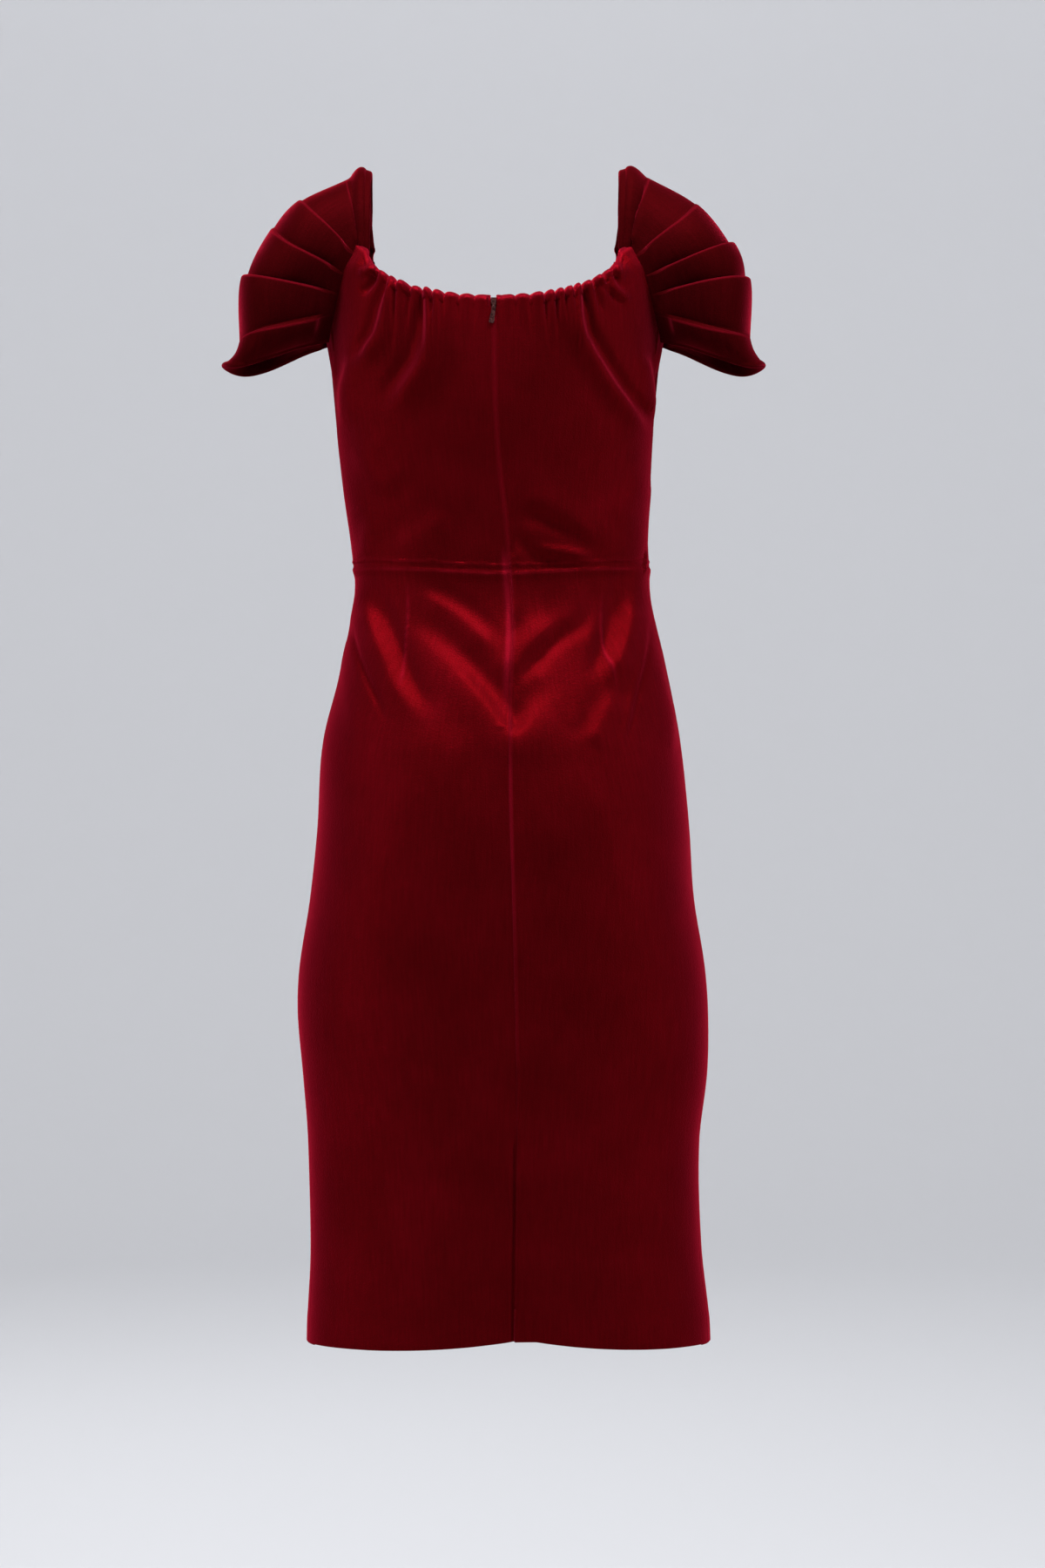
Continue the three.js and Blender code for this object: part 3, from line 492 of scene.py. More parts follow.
def eachSide(behind, height, tables, x, down):
    # a height by the back's table behind and by the front's table in front
    return np.where(behind, height(tables[0], x, down), height(tables[1], x, down))


def cornerLean(z):
    # the corners at the shoulders lean inwards
    return cut["cornerLean"] * ease(z, cut["shoulderZ"] - 26, cut["shoulderZ"]) ** 1.4


def isBodice(top):
    return top > cut["waistZ"] + 60


def mmFromSeam(angle, z):
    # how far along the cloth from the middle seam of the back
    return (angle - backSeamAngle(np.minimum(z, seamSet["middleTop"]))) * mmPerDegree(angle, z)


def clothOut(angle, z, top):
    # how far the cloth stands out from the form
    x, behind = onBody(angle, z)
    below = np.maximum(top - z, 0)
    out = softWaves(angle, z) + eachSide(behind, foldHeight, folds, x, z)
    bodice = isBodice(top)
    out = out + np.where(bodice, eachSide(behind, gatherHeight, gathers, x, below), 0)
    cup = np.minimum(np.hypot(np.abs(x) - bustSet["x"], z - bustSet["z"]) / bustSet["reach"], 1)
    out = out + np.where(behind, 0, bustSet["high"] * np.cos(cup * np.pi / 2) ** 2)
    aboveWaist = z - waistLine(angle)
    ragged = 0.6 * np.sin(angle * 0.23) + 0.4 * np.sin(angle * 0.6 + 1)
    fromAllowance = aboveWaist - seamSet["allowanceUp"] + ragged
    out = out + seamSet["allowance"] * line(fromAllowance, seamSet["allowanceWide"])
    out = out + seamSet["lift"] * line(aboveWaist, np.where(aboveWaist > 0, *seamSet["liftWide"]))
    out = out + np.where(behind, seamSet["middle"] * line(mmFromSeam(angle, z), seamSet["middleWide"]), 0)
    # the gathered edge and the corner by the sleeve roll over towards the neck
    rolled = np.clip(1 - below / cut["neckRoll"], 0, 1)
    out = out - np.where(bodice, cut["neckRoll"] * (1 - np.sqrt(1 - 0.97 * rolled ** 2)) * inNeck(x), 0)
    out = out - cornerLean(z)
    aboveHem = z - hemLine(angle)
    return out + seamSet["hem"] * ease(-aboveHem, -24, -20)  # the turned hem is a little thicker


def turnedEdge(fold, steps=5):
    # past an edge: how far beyond its start, how far inwards, and the share of the turning
    turns = np.linspace(0, math.pi, steps + 1)[1:]
    curve = [(fold * math.sin(a), fold * (1 - math.cos(a)), 0) for a in turns]
    return curve + [(0, 2 * fold, share) for share in (0.33, 0.66, 1.0)]


def edgeSteps(shares, fold=cut["fold"], low=True, high=True):
    # rows or columns of a sheet: (share, beyond, inwards, turning share, which edge)
    back = fold - cut["sewn"]  # two sewn edges press into each other, so that no gap shows
    main = [(s, back * ((1 - s) * low - s * high), 0, 0, 0) for s in shares]
    curve = turnedEdge(fold)
    before = [(0, back - beyond, inward, turn, -1) for beyond, inward, turn in curve][::-1] if low else []
    after = [(1, beyond - back, inward, turn, 1) for beyond, inward, turn in curve] if high else []
    return np.array(before + main + after)


def newPiece(bm, name, smooth):
    mesh = bpy.data.meshes.new(name)
    bm.to_mesh(mesh)
    bm.free()
    if smooth:
        mesh.polygons.foreach_set("use_smooth", np.ones(len(mesh.polygons), bool))
    piece = bpy.data.objects.new(name, mesh)
    bpy.context.collection.objects.link(piece)
    return piece


def gridSpot(v, columns, rows):
    # the column and the row of a corner of a fresh grid
    return round((v.co.x + 1) / 2 * (columns - 1)), round((v.co.y + 1) / 2 * (rows - 1))


def shellFromGrid(name, places, flats, keep=None, painted_highlight=None):
    # places: columns x rows x 3 in mm, flats: the cloth's own coordinates in mm for the nap,
    # painted highlight: the last argument says how much of the bright crest colour is painted on at each
    # point
    columns, rows = places.shape[:2]
    bm = bmesh.new()
    bmesh.ops.create_grid(bm, x_segments=columns - 1, y_segments=rows - 1, size=1)
    uvLayer = bm.loops.layers.uv.new("cloth")
    highlightLayer = bm.verts.layers.float.new("painted_highlight")
    index = {}
    for v in bm.verts:
        i, j = index[v] = gridSpot(v, columns, rows)
        v.co = places[i, j] * mm
        v[highlightLayer] = 0 if painted_highlight is None else painted_highlight[i, j]
    gone = []
    for face in bm.faces:
        corners = [index[v] for v in face.verts]
        if keep is not None and not keep(min(c[0] for c in corners), min(c[1] for c in corners)):
            gone.append(face)
        for loop, (i, j) in zip(face.loops, corners):
            loop[uvLayer].uv = flats[i, j] * mm
    bmesh.ops.delete(bm, geom=gone, context="FACES")
    piece = newPiece(bm, name, True)
    wall = piece.modifiers.new("wall", "SOLIDIFY")
    wall.thickness = cut["cloth"] * mm
    wall.offset = -1
    return piece


flatPerDegree = 2.1  # mm of cloth for each degree round the form, for the nap


def finishCloth(piece, node, cloth=velvet):
    piece.data.materials.append(cloth)
    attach(piece, "dress")
    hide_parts(node)


highlightSet = {  # strengths of the painted highlights, and widths in mm
    "middle": 0.14, "middleBelow": 0.3, "middleWide": 0.9, "strip": 0.42, "stripAt": -3.4, "stripWide": 2.6,
    "waist": 0.2, "waistWide": 1.1, "allowance": 0.1, "allowanceWide": 0.9, "darts": 0.32, "neck": 0.5,
    "crest": 0.2, "crestWide": 0.0032,
    # the levels between which each line fades in or out
    "middleEnds": (-770, -740), "belowBegins": (486, 520), "belowEnds": (-700, -560),
    "stripBegins": (322, 344), "stripEnds": (-470, -420),
}


def paintedHighlight(angle, z, top):
    # painted highlights: bright lines along the middle seam, a strip beside it, the waist seam, the darts and
    # the neck edge
    v = highlightSet
    x, behind = onBody(angle, z)
    fromSeam = mmFromSeam(angle, z)
    below = v["middleBelow"] * ease(-z, *v["belowBegins"]) * ease(z, *v["belowEnds"])
    middle = line(fromSeam, v["middleWide"]) * (v["middle"] + below) * ease(z, *v["middleEnds"])
    strip = v["strip"] * line(fromSeam - v["stripAt"], v["stripWide"])
    strip = strip * ease(-z, *v["stripBegins"]) * ease(z, *v["stripEnds"])
    aboveWaist = z - waistLine(angle)
    uneven = 0.6 + 0.4 * np.sin(angle * 0.11 + 2.2) * np.sin(angle * 0.37)
    waist = uneven * (v["waist"] * line(aboveWaist, v["waistWide"])
                      + v["allowance"] * line(aboveWaist - seamSet["allowanceUp"], v["allowanceWide"]))
    dips = v["darts"] * eachSide(behind, foldHeight, darts, x, z)
    neck = v["neck"] * np.clip(1 - (top - z) / cut["neckRoll"], 0, 1) * isBodice(top) * inNeck(x)
    return np.clip(np.where(behind, middle + strip, 0) + waist + dips + neck, 0, 1)


def bodyPanel(name, span, columns, rows, low, high, turns, warp=None, sink=None, keep=None):
    # one panel of the body: span in degrees round the form, low and high its lines at the bottom and the top
    first, last = span
    share, acrossMm, inColumn, turnColumn, edgeColumn = (columns[:, k][:, None] for k in range(5))
    upShare, upMm, inRow, turnRow, edgeRow = (rows[:, k][None, :] for k in range(5))
    plain = mix(first, last, np.minimum(np.maximum(share, 0), 1))
    seamTurn, topTurn, bottomTurn = turns["side"], turns["top"], turns["bottom"]
    z = mix(low(plain), high(plain), upShare) + upMm
    z = z - edgeRow * turnRow * np.where(edgeRow > 0, topTurn, bottomTurn)
    turnAcross = seamTurn(z, edgeColumn) if callable(seamTurn) else seamTurn
    angle = plain + 0 * z if warp is None else plain + warp(share, z)
    perDegree = mmPerDegree(angle, z)
    under = np.maximum(share - 1, 0) * cut["underlap"]
    angle = angle + (acrossMm - edgeColumn * turnColumn * turnAcross + under) / perDegree
    top = high(plain) + 0 * z
    out = clothOut(angle, np.minimum(z, top), top) - inColumn - inRow
    if sink is not None:
        out = out - sink(share, z)
    places = skin(angle, z) + skinNormal(angle, z) * out[..., None]
    flats = np.stack([angle * flatPerDegree, z], -1)
    # the bright lines along seams, darts and the neck edge are painted highlights
    return shellFromGrid(name, places, flats, keep, paintedHighlight(angle, z, top))


def toBackSeam(side):
    # bends a back panel's edge to the middle seam and opens a small notch at its top
    neckZ = cut["shoulderZ"] - cut["backNeck"]

    def warp(share, z):
        share = share if side > 0 else 1 - share
        near = ease(np.minimum(share, 1), 0.3, 1)
        opened = cut["notchWide"] * ease(z, neckZ - cut["notchHigh"], neckZ) / math.radians(85)
        return (backSeamAngle(z) - 90) * near - side * opened * ease(share, 0.9, 1)
    return warp


def bodiceTop(angle):
    # the gathers lift the neck edge into small scallops
    x, behind = onBody(angle, topLine(angle))
    lift = eachSide(behind, gatherHeight, gathers, x, 0)
    onNeck = ease(cut["neckHalf"] - np.abs(x), 0, 8)
    # the corner by the sleeve is rounded
    fromCorner = np.abs(np.abs(x - cut["middleX"]) - cut["cornerX"]) / cut["cornerWide"]
    lower = np.where(fromCorner < 1, fromCorner ** 2, np.exp(1 - np.maximum(fromCorner, 1)))
    return topLine(angle) + gatherSet["lift"] * lift * onNeck - cut["cornerRound"] * lower


def shares(*stretches):
    # shares along a sheet, from stretches of (end, steps)
    start, out = 0, [0]
    for end, steps in stretches:
        out.extend(np.linspace(start, end, steps + 1)[1:])
        start = end
    return np.array(out)


bodiceSet = {
    "rows": shares((0.06, 11), (0.8, 62), (1, 40)),
    "leftColumns": shares((0.94, 108), (1, 12)), "rightColumns": shares((0.06, 12), (1, 108)),
    "frontColumns": np.linspace(0, 1, 210), "frontRows": shares((0.05, 8), (0.76, 42), (1, 34)),
}
bodiceRows = edgeSteps(bodiceSet["rows"])
sideSeam = cut["sideSeam"]
leftSpan, rightSpan, frontSpan = (sideSeam, 90), (90, 180 - sideSeam), (-180 - sideSeam, sideSeam)
clothTurns = {"side": cut["seamAllowance"], "top": cut["neckTurn"], "bottom": cut["seamAllowance"]}

left = bodyPanel("velvet_bodice_back_left", leftSpan, edgeSteps(bodiceSet["leftColumns"]), bodiceRows,
                 waistLine, bodiceTop, clothTurns, warp=toBackSeam(1))
finishCloth(left, "bodice_back_left")
right = bodyPanel("velvet_bodice_back_right", rightSpan, edgeSteps(bodiceSet["rightColumns"]), bodiceRows,
                  waistLine, bodiceTop, clothTurns, warp=toBackSeam(-1))
finishCloth(right, "bodice_back_right")

bodiceFront = bodyPanel("velvet_bodice_front", frontSpan, edgeSteps(bodiceSet["frontColumns"]),
                        edgeSteps(bodiceSet["frontRows"]), waistLine, bodiceTop, clothTurns)
finishCloth(bodiceFront, "bodice_front")
print("bodice made")

skirtSet = {
    "rows": shares((0.76, 96), (0.985, 70), (1, 8)),
    "leftColumns": shares((0.94, 138), (1, 12)), "rightColumns": shares((0.06, 12), (1, 138)),
    "frontColumns": np.linspace(0, 1, 200), "frontRows": shares((0.78, 56), (0.985, 46), (1, 7)),
    "ventTurn": 30, "underlapColumns": (0.02, 0.05, 0.1, 0.2, 0.35, 0.5, 0.65, 0.8, 0.92, 0.97, 1),
}
skirtRows = edgeSteps(skirtSet["rows"])
skirtTurns = {"side": cut["seamAllowance"], "top": cut["seamAllowance"], "bottom": cut["hemTurn"]}


def ventTurn(z, edge):
    # the right panel's edge is turned in deeper at the vent
    inVent = ease(-z, -cut["ventTop"] - 6, -cut["ventTop"] + 6)
    deeper = mix(cut["seamAllowance"], skirtSet["ventTurn"], inVent)
    return np.where(edge < 0, deeper, cut["seamAllowance"])


rightSkirt = bodyPanel("velvet_skirt_back_right", rightSpan, edgeSteps(skirtSet["rightColumns"]), skirtRows,
                       hemLine, waistLine, {**skirtTurns, "side": ventTurn}, warp=toBackSeam(-1))
finishCloth(rightSkirt, "skirt_back_right")

underColumns = edgeSteps(skirtSet["leftColumns"], high=False)
beyondSeam = np.array([(1 + s, 0, 0, 0, 0) for s in skirtSet["underlapColumns"]])
leftColumns = np.vstack([underColumns, beyondSeam])


def ventSink(share, z):
    # the left panel goes in under the right one
    begins, ends = cut["ventOpens"]
    inVent = ease(-z, -cut["ventTop"] + begins, -cut["ventTop"] + ends)
    deep, wide = cut["tuck"]
    dip = deep * line(1 - np.minimum(share, 1), wide) * (1 - inVent)
    return cut["underlapDrop"] * inVent * ease(share, 0.95, 1) + dip


ventRow = int(np.argmax(mix(hemLine(90.0), waistLine(90.0), skirtRows[:, 0]) > cut["ventTop"] - 20))
leftSkirt = bodyPanel("velvet_skirt_back_left", leftSpan, leftColumns, skirtRows, hemLine, waistLine,
                      skirtTurns, warp=toBackSeam(1), sink=ventSink,
                      keep=lambda i, j: i < len(underColumns) - 1 or j < ventRow)
finishCloth(leftSkirt, "skirt_back_left")

frontSkirt = bodyPanel("velvet_skirt_front", frontSpan, edgeSteps(skirtSet["frontColumns"]),
                       edgeSteps(skirtSet["frontRows"]), hemLine, waistLine, skirtTurns)
finishCloth(frontSkirt, "skirt_front")
print("skirt made")

# sleeves: a fan of pleats from the armhole over the shoulder
# columns: fan, place on the armhole in degrees, outer edge x and z, bulge behind the arm, how far the line
# bends down on its way, ridge height at the seam, midway and at the edge, and the share of its steep side
sleeveTables = {
    "left": np.array([
        (0, 26, 107, -6, 0, 0, 0.8, 1, 1.4, 0.2),
        (0.06, 23.6, 115, -4, 1.2, 0, 2.4, 3, 3.4, 0.5),
        (0.13, 20.5, 127, -12, 3, 0, 2.2, 2.6, 0.6, 0.4),
        (0.3, 18.7, 168, -31, 9, -2.4, 5, 8.8, 0.8, 0.07),
        (0.47, 16.4, 191, -55, 17, -7.4, 5, 9.6, 1, 0.07),
        (0.64, 13.9, 213, -97, 26, -1, 5, 9.6, 4.4, 0.06),
        (0.82, 10.9, 219, -155, 34, 4, 4.6, 6.6, 0.2, 0.08),
        (1, 4.5, 233, -170, 38, 0, 0.4, 0.6, 1.6, 0.2)]),
    "right": np.array([
        (0, 26, 104, -5, 0, 0, 0.8, 1, 1.4, 0.2),
        (0.06, 23.6, 113, -3, 1.2, 0, 2.6, 3.2, 3.4, 0.5),
        (0.14, 20.5, 128, -11, 3, -1, 3, 4.4, 0.8, 0.14),
        (0.3, 18.4, 170, -34, 9, -5.6, 5, 8.8, 0.8, 0.07),
        (0.47, 16.2, 199, -69, 17, -1.4, 5, 9.6, 3.8, 0.06),
        (0.64, 13.7, 211, -99, 26, 1, 5, 9.6, 4.4, 0.06),
        (0.82, 10.8, 215, -150, 34, -1, 4.6, 6.6, 0.2, 0.08),
        (1, 4.5, 227, -170, 38, 0, 0.4, 0.6, 1.6, 0.2)]),
}
seamAt, outX, outZ, bulge, bend, ridgeAt, steepShare = 1, 2, 3, 4, 5, (6, 7, 8), 9  # their columns
sleeveSet = {
    "turns": 120, "hemSag": 8, "under": 2.7, "lap": 8, "fold": 1.3, "neckTurn": 11, "hemTurn": 12,
    "inner": 0.9, "flat": (230, 190),  # around and across the fan, for the nap
}


def sleeveSeam(table, side, fan, behind):
    angle = smoothTable(table, fan, seamAt) * np.where(behind, 1, -1)
    real = angle if side > 0 else 180 - angle
    edge = topLine(real)
    place, out = skin(real, edge), skinNormal(real, edge)
    along = skin(real + 1, topLine(real + 1)) - skin(real - 1, topLine(real - 1))
    away = unit(np.cross(along, out))
    away = away * np.where(away[..., 2:] < 0, -1, 1)
    # the sleeve starts under the bodice's edge
    inward = sleeveSet["under"] + cornerLean(edge)
    return place - away * sleeveSet["lap"] - out * inward[..., None], out


def sleeveBase(table, side, fan, turn):
    fan, turn = np.broadcast_arrays(fan, turn)
    place, _ = sleeveSeam(table, side, fan, turn < 0.5)
    around = turn * np.pi
    reach, swing = np.sin(around) ** 0.94, np.sin(2 * around)
    sag = sleeveSet["hemSag"] * fan ** 4 * swing ** 2
    return np.stack([
        mix(place[..., 0], side * smoothTable(table, fan, outX), reach),
        np.abs(place[..., 1]) * np.cos(around) + smoothTable(table, fan, bulge) * swing,
        mix(place[..., 2], smoothTable(table, fan, outZ), reach) - sag
        + smoothTable(table, fan, bend) * swing ** 2], -1)


def pleatHeight(table, fan, turn):
    # cloth falls full and round from each fold down to the foot of the crisp lip of the next one
    i = np.clip(np.searchsorted(table[:, 0], fan, side="right") - 1, 0, len(table) - 2)
    s = np.clip((fan - table[i, 0]) / (table[i + 1, 0] - table[i, 0]), 0, 1)
    t = np.minimum(turn, 1 - turn) * 2

    def ridge(row):
        atSeam, midway, atEdge = (table[row, k] for k in ridgeAt)
        return mix(mix(atSeam, midway, ease(t, 0, 0.4)), atEdge, ease(t, 0.5, 1))
    steep = table[i + 1, steepShare]
    lip = np.sin(np.pi / 2 * np.clip((s - 1 + steep) / steep, 0, 1)) ** 0.8
    fall = 1 - s ** 1.6
    rooted = mix(0.15, 1, ease(t, 0, 0.09))  # flat where it is sewn in under the bodice
    return rooted * (ridge(i) * fall * (1 - lip) + ridge(i + 1) * lip)


def crestHighlight(table, fan, turn):
    # painted highlight along each pleat's crest
    t = np.minimum(turn, 1 - turn) * 2
    fromCrest = np.min([np.abs(fan - row[0]) for row in table[2:-1]], axis=0)
    fading = ease(t, 0, 0.08) * (1 - ease(t, 0.75, 0.95))
    return highlightSet["crest"] * line(fromCrest, highlightSet["crestWide"]) * fading


def capSleeve(name, table, side, node):
    turn = np.linspace(0, 1, sleeveSet["turns"])[:, None]
    # rows stand close at each fold's edge
    close = np.array([0, 0.01, 0.022, 0.036, 0.055, 0.08, 0.11, 0.15, 0.2, 0.26, 0.33, 0.41, 0.49, 0.57, 0.65,
                      0.72, 0.79, 0.85, 0.9, 0.935, 0.95, 0.963, 0.975, 0.988])
    fans = np.concatenate([mix(table[k, 0], table[k + 1, 0], close) for k in range(len(table) - 1)] + [[1]])
    fanSteps = edgeSteps(fans, sleeveSet["fold"])
    fan, fanMm, inward, turning, edge = (fanSteps[:, k][None, :] for k in range(5))
    near = np.clip(turn, 0.01, 0.99)
    along = sleeveBase(table, side, fan, near + 0.005) - sleeveBase(table, side, fan, near - 0.005)
    down = (sleeveBase(table, side, np.minimum(fan + 0.01, 1), near)
            - sleeveBase(table, side, np.maximum(fan - 0.01, 0), near))
    own = unit(np.cross(along, down)) * side
    free = ease(np.minimum(turn, 1 - turn), 0, 0.1)[..., None]
    normal = unit(mix(sleeveSeam(table, side, fan + 0 * turn, turn + 0 * fan < 0.5)[1], own, free))
    out = pleatHeight(table, fan, turn) - sleeveSet["inner"] * free[..., 0] - inward
    edgeWay = unit(down)
    slide = fanMm - edge * turning * np.where(edge < 0, sleeveSet["neckTurn"], sleeveSet["hemTurn"])
    slide = slide * ease(np.minimum(turn, 1 - turn), 0, 0.06)
    places = sleeveBase(table, side, fan, turn) + normal * out[..., None] + edgeWay * slide[..., None]
    # painted highlight along the sleeve's crests, mixed into its colour
    crestHighlights = crestHighlight(table, fan, turn)
    if side < 0:
        places = places[::-1]
    around, across = sleeveSet["flat"]
    flats = np.stack(np.broadcast_arrays(around * turn, across * fan), -1)
    piece = shellFromGrid(name, places[::-1], flats, painted_highlight=crestHighlights)
    finishCloth(piece, node, crossVelvet)


capSleeve("velvet_sleeve_left", sleeveTables["left"], 1, "sleeve_left")
capSleeve("velvet_sleeve_right", sleeveTables["right"], -1, "sleeve_right")
print("sleeves made")

# the concealed zip: a tape pressed into a groove down its middle, with the coil behind it, a slider and its
# pull tab
zipSet = {
    "top": -120.5, "bottom": -486, "tapeWide": 11, "tapeThick": 0.5, "groove": 0.45, "under": 2.7,
    "pitch": 1.25, "tooth": 2.5, "toothThick": 0.34, "toothSide": 0.9, "coilUnder": 3.9,
    "pivot": (2.443, 87.032, -128.5), "lean": -8,
    "sliderTop": 8, "sliderFoot": -1.4, "sliderWide": 4.4, "sliderNarrow": 2.2, "plate": 0.62,
    "plateOut": -1.95, "plateIn": -4.05, "lugRadius": 1.22, "lugThick": 0.74, "lugWide": 0.9,
    "into": 0.1,  # how far the slider's blocks reach into its plates
    "wedge": (0.7, 4.6, 7.8), "rim": (0.3, -1.0, 3.6), "rimAt": 1.45,  # half width, foot and top
    "bridge": (0.45, ((0.9, -0.75, 5.2), (4.9, -1.3, 6.4))),  # half width, and each part's foot, back and top
    "tabTop": 3.1, "tabEnd": 4.2, "tabLong": 13.6, "tabThick": 0.8, "ribs": 8, "ribHigh": 0.16,
    "tabColumns": (-1, -0.86, -0.66, 0, 0.66, 0.86, 1),
    "eye": (0.45, 0.2, -0.2, -0.45, -1.5, -2.65, -3.2, -4.0),
    "ribSteps": (0.34, 0.2, -0.2, -0.34), "ribEnds": (-4.9, 1.9), "ribWide": 0.75,
    "tip": ((0.9, 0.97), (0.4, 0.84), (0.12, 0.62), (0, 0.4)),  # above the end, and the share of the width
}


def zipPlace(z, across, under):
    # a point behind the cloth, beside the middle seam
    middle = backSeamAngle(z)
    top = 0 * z + cut["shoulderZ"] - cut["backNeck"]
    out = np.minimum.reduce([clothOut(middle + turn, z, top) for turn in (-8, -4, -1, 1, 4, 8)])
    angle = middle + across / mmPerDegree(middle, z)
    return skin(angle, z) + skinNormal(angle, z) * (out - under)[..., None]


def zipTape():
    z = np.linspace(zipSet["bottom"], zipSet["top"], 74)[None, :]
    steps = np.array([-1, -0.75, -0.5, -0.25, -0.08, 0, 0.08, 0.25, 0.5, 0.75, 1])
    across = steps[:, None] * zipSet["tapeWide"] / 2
    fold = zipSet["groove"] * line(across, 0.5)
    places = zipPlace(z + 0 * across, across + 0 * z, zipSet["under"] + fold + 0 * z)
    flats = np.stack([across + 0 * z, z + 0 * across], -1)
    tape = shellFromGrid("zip_tape", places[::-1], flats)
    tape.modifiers["wall"].thickness = zipSet["tapeThick"] * mm
    tape.data.materials.append(tapeCloth)
    return tape


def zipCoil():
    # one short rod for each turn of the coil, from the left and the right in turn
    levels = np.arange(zipSet["bottom"] + 2, zipSet["top"] - 1, zipSet["pitch"] / 2)
    places = zipPlace(levels, 0 * levels, zipSet["coilUnder"] + 0 * levels)
    bm = bmesh.new()
    for k, place in enumerate(places):
        side = 1 if k % 2 else -1
        rod = bmesh.ops.create_cone(bm, cap_ends=True, segments=6, radius1=zipSet["toothThick"],
                                    radius2=zipSet["toothThick"], depth=zipSet["tooth"])["verts"]
        bmesh.ops.rotate(bm, verts=rod, matrix=Matrix.Rotation(math.radians(90), 3, "Y"))
        bmesh.ops.translate(bm, verts=rod, vec=Vector(place) + Vector((side * zipSet["toothSide"], 0, 0)))
    return finishHardware(bm, "zip_coil", coilNylon)


def finishHardware(bm, name, material):
    bmesh.ops.scale(bm, verts=bm.verts, vec=(mm, mm, mm))
    piece = newPiece(bm, name, False)
    piece.data.materials.append(material)
    return piece


def roundedBlock(bm, low, high, narrowLow=1.0, soft=0.16):
    # a block between two corners, narrower at its lower end, with its edges eased
    block = bmesh.ops.create_cube(bm, size=1)["verts"]
    for v in block:
        up = v.co.z + 0.5
        v.co = Vector([mix(low[k], high[k], v.co[k] + 0.5) for k in range(3)])
        v.co.x *= mix(narrowLow, 1, up)
    edges = list({edge for v in block for edge in v.link_edges})
    bmesh.ops.bevel(bm, geom=edges, affect="EDGES", offset=soft, segments=3, profile=0.5, material=-1)


def zipSlider():
    z = zipSet
    w, taper = z["sliderWide"] / 2, z["sliderNarrow"] / z["sliderWide"]
    out, inner, thick = z["plateOut"], z["plateIn"], z["plate"]
    bm = bmesh.new()
    roundedBlock(bm, (-w, out - thick, z["sliderFoot"]), (w, out, z["sliderTop"]), taper)
    roundedBlock(bm, (-w, inner, z["sliderFoot"]), (w, inner + thick, z["sliderTop"]), taper)
    between = inner + thick - z["into"], out - thick + z["into"]
    halfWide, foot, top = z["wedge"]
    roundedBlock(bm, (-halfWide, between[0], foot), (halfWide, between[1], top), 0.5)
    halfWide, foot, top = z["rim"]
    for edge in (-z["rimAt"], z["rimAt"]):
        roundedBlock(bm, (edge - halfWide, between[0], foot), (edge + halfWide, between[1], top), 0.8)
    # the bridge that carries the lug, arched along its back
    halfWide, arches = z["bridge"]
    for foot, crown, top in arches:
        roundedBlock(bm, (-halfWide, out - z["into"], foot), (halfWide, crown, top), soft=0.2)
    ring = bmesh.ops.create_circle(bm, segments=8, radius=z["lugThick"] / 2)["verts"]
    bmesh.ops.scale(bm, verts=ring, vec=(z["lugWide"] / z["lugThick"], 1, 1))
    bmesh.ops.translate(bm, verts=ring, vec=(0, z["lugRadius"], 0))
    edges = list({edge for v in ring for edge in v.link_edges})
    bmesh.ops.spin(bm, geom=ring + edges, cent=(0, 0, 0), axis=(1, 0, 0), dvec=(0, 0, 0),
                   angle=math.radians(360), steps=24, use_merge=True)
    bmesh.ops.recalc_face_normals(bm, faces=bm.faces)
    bmesh.ops.translate(bm, verts=bm.verts, vec=z["pivot"])
    return finishHardware(bm, "zip_slider_body", zinc)


def pullTab():
    z = zipSet
    columns, levels, raised, narrow = z["tabColumns"], list(z["eye"]), [], {}
    firstRib, fromEnd = z["ribEnds"]
    for at in np.linspace(firstRib, -z["tabLong"] + fromEnd, z["ribs"]):
        raised += [len(levels) + 1, len(levels) + 2]
        levels += [at + step for step in z["ribSteps"]]
    for up, share in z["tip"]:
        narrow[len(levels)] = share
        levels.append(up - z["tabLong"])
    bm = bmesh.new()
    bmesh.ops.create_grid(bm, x_segments=len(columns) - 1, y_segments=len(levels) - 1, size=1)
    spot = {}
    for v in bm.verts:
        i, j = spot[v] = gridSpot(v, len(columns), len(levels))
        wide = np.interp(-levels[j], [4, z["tabLong"] - 2], [z["tabTop"] / 2, z["tabEnd"] / 2])
        v.co = (columns[i] * wide * narrow.get(j, 1), 0, levels[j])
    window = [f for f in bm.faces if all(2 <= spot[v][0] <= 4 and 3 <= spot[v][1] <= 5 for v in f.verts)]
    bmesh.ops.delete(bm, geom=window, context="FACES")
    bmesh.ops.solidify(bm, geom=bm.faces[:], thickness=z["tabThick"])
    middle = sum(v.co.y for v in bm.verts) / len(bm.verts)
    ribLevels = [levels[j] for j in raised]
    for v in bm.verts:
        v.co.y -= middle
        onRib = min(abs(v.co.z - level) for level in ribLevels) < 0.01
        if onRib and abs(v.co.x) < z["ribWide"] * z["tabEnd"] / 2:
            v.co.y += math.copysign(z["ribHigh"], v.co.y)
    bmesh.ops.recalc_face_normals(bm, faces=bm.faces)
    sharp = [e for e in bm.edges if len(e.link_faces) == 2 and e.calc_face_angle() > math.radians(60)]
    bmesh.ops.bevel(bm, geom=sharp, affect="EDGES", offset=0.1, segments=2, profile=0.5, material=-1)
    bmesh.ops.rotate(bm, verts=bm.verts, matrix=Matrix.Rotation(math.radians(z["lean"]), 3, "Y"))
    bmesh.ops.translate(bm, verts=bm.verts, vec=z["pivot"])
    return finishHardware(bm, "zip_pull_tab", zinc)


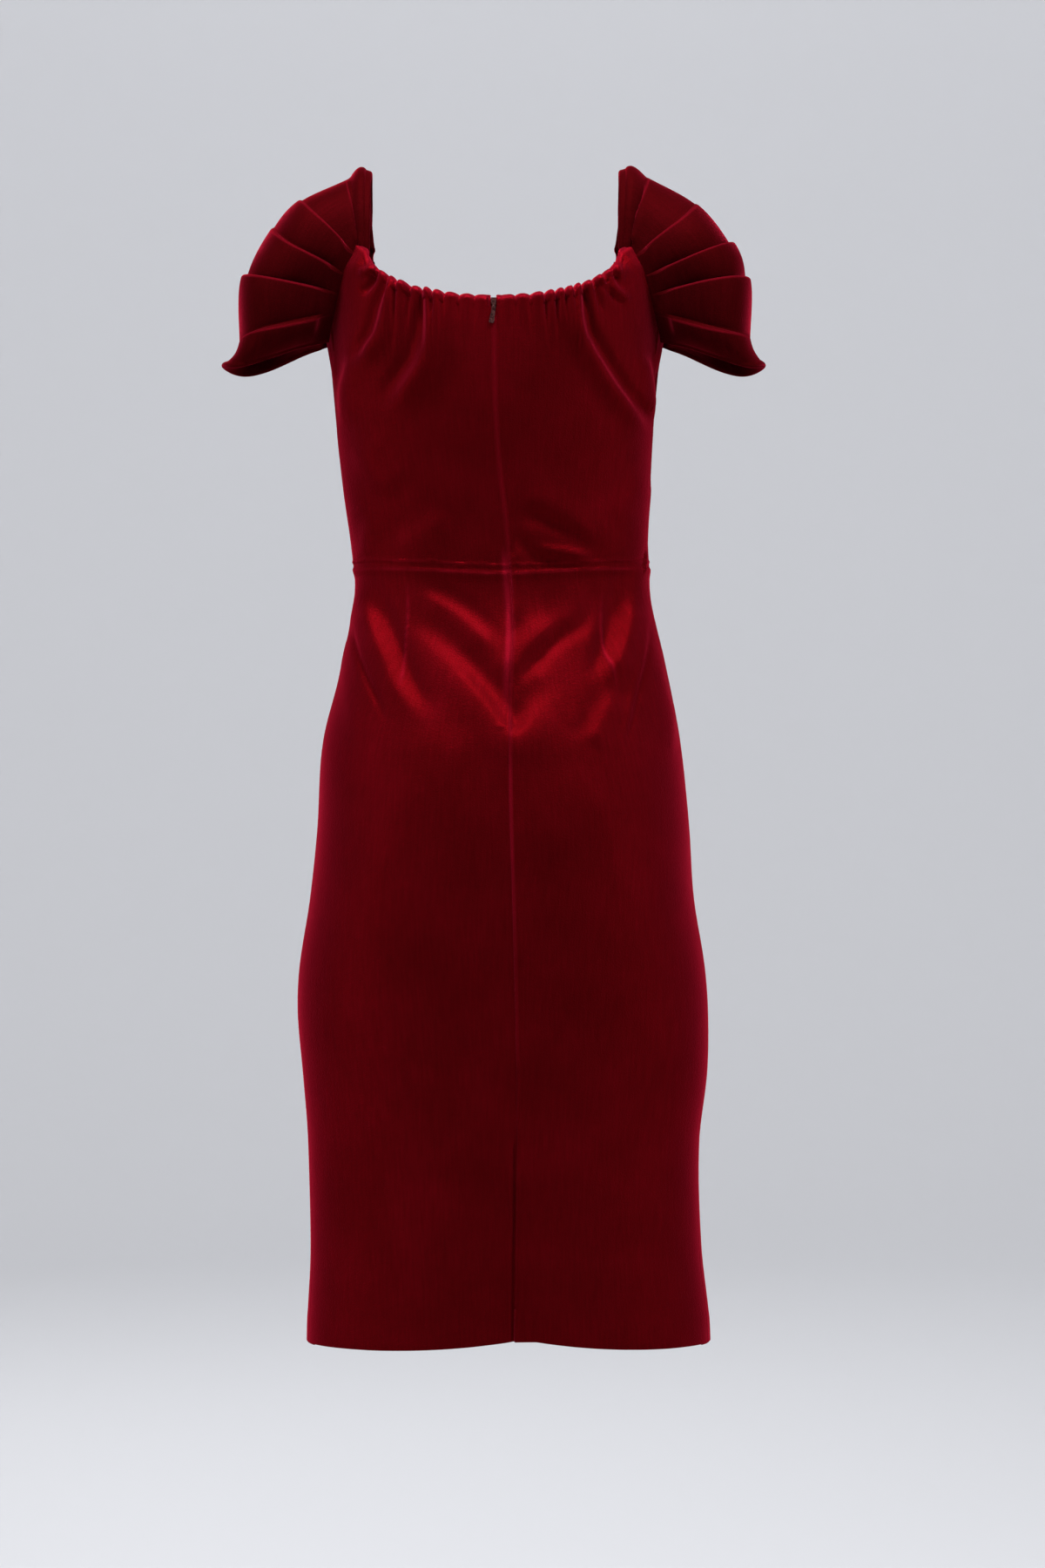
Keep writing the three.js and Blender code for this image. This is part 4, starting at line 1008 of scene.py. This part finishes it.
tape, coil = zipTape(), zipCoil()
sliderBody, pull = zipSlider(), pullTab()
for piece, body, slot, node in (
        (tape, "dress", "zip_tape", "zip_chain"), (coil, "dress", "zip_tape", "zip_chain"),
        (sliderBody, "dress", "zip_metal", "zip_slider"), (pull, "pull_tab", "zip_metal", "zip_pull")):
    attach(piece, body)
    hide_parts(node)
print("zip made")

stageSet = {
    "floorZ": -1.42, "floorRadius": 4.6, "bend": 2.6, "high": 5.0, "steps": 96, "grey": "#c9cace",
    "world": "#dfe0e4", "worldPower": 0.05,
}


def seamlessPaper():
    # a round studio floor that bends up into a wall on every side
    s = stageSet
    bm = bmesh.new()
    arc = [(s["floorRadius"] + s["bend"] * math.sin(a), s["bend"] * (1 - math.cos(a)))
           for a in np.linspace(0, math.pi / 2, 13)]
    profile = [(0, 0), (1.5, 0), (3.5, 0)] + arc + [(s["floorRadius"] + s["bend"], s["bend"] + s["high"])]
    corners = [bm.verts.new((x, 0, s["floorZ"] + z)) for x, z in profile]
    edges = [bm.edges.new(pair) for pair in zip(corners, corners[1:])]
    bmesh.ops.spin(bm, geom=corners + edges, cent=(0, 0, 0), axis=(0, 0, 1), dvec=(0, 0, 0),
                   angle=math.radians(360), steps=s["steps"], use_merge=True)
    bmesh.ops.remove_doubles(bm, verts=bm.verts, dist=0.0001)
    bmesh.ops.recalc_face_normals(bm, faces=bm.faces)
    paper = newPiece(bm, "seamless_paper", True)
    material, tree, shader = newMaterial("grey background paper")
    matt = {"Base Color": linearColour(s["grey"]), "Roughness": 0.9, "Specular IOR Level": 0.1}
    wire(tree, shader, matt, {})
    paper.data.materials.append(material)


seamlessPaper()
lightSet = {  # where it stands, what it shines at, its size in m and its power in W
    "side_left": ((2.0, 1.1, -0.35), (0.05, 0, -0.7), (0.4, 1.2), 9),
    "side_right": ((-2.0, 1.1, -0.35), (-0.05, 0, -0.7), (0.4, 1.2), 8),
    "top_left": ((0.8, 0.75, 1.8), (0, 0, -0.42), (0.6, 0.4), 56),
    "top_right": ((-0.8, 0.75, 1.8), (0, 0, -0.42), (0.6, 0.4), 60),
    "other_side": ((0.9, -2.6, 1.3), (0, 0, -0.5), (1.0, 0.8), 30),
    "front": ((0.2, 3.9, 0.9), (0, 0, -0.5), (1.2, 1.0), 2.5),
    "wall_far": ((0, -2.6, 3.6), (0, -7, 0.5), (3.6, 0.8), 205),
    "wall_near": ((0, 2.6, 3.6), (0, 7, 0.5), (3.6, 0.8), 52),
    "wall_left": ((2.6, 0, 3.6), (7, 0, 0.5), (3.6, 0.8), 52),
    "wall_right": ((-2.6, 0, 3.6), (-7, 0, 0.5), (3.6, 0.8), 52),
}
for name, (at, to, size, power) in lightSet.items():
    data = bpy.data.lights.new(name, "AREA")
    data.shape = "RECTANGLE"
    data.size, data.size_y = size
    data.energy = power
    lamp = bpy.data.objects.new(name, data)
    lamp.location = at
    lamp.rotation_euler = (Vector(to) - Vector(at)).to_track_quat("-Z", "Y").to_euler()
    bpy.context.collection.objects.link(lamp)
world = bpy.data.worlds.new("studio")
bpy.context.scene.world = world
world.use_nodes = True
worldLight = {"Color": linearColour(stageSet["world"]), "Strength": stageSet["worldPower"]}
wire(world.node_tree, world.node_tree.nodes["Background"], worldLight, {})
print("stage and light set")
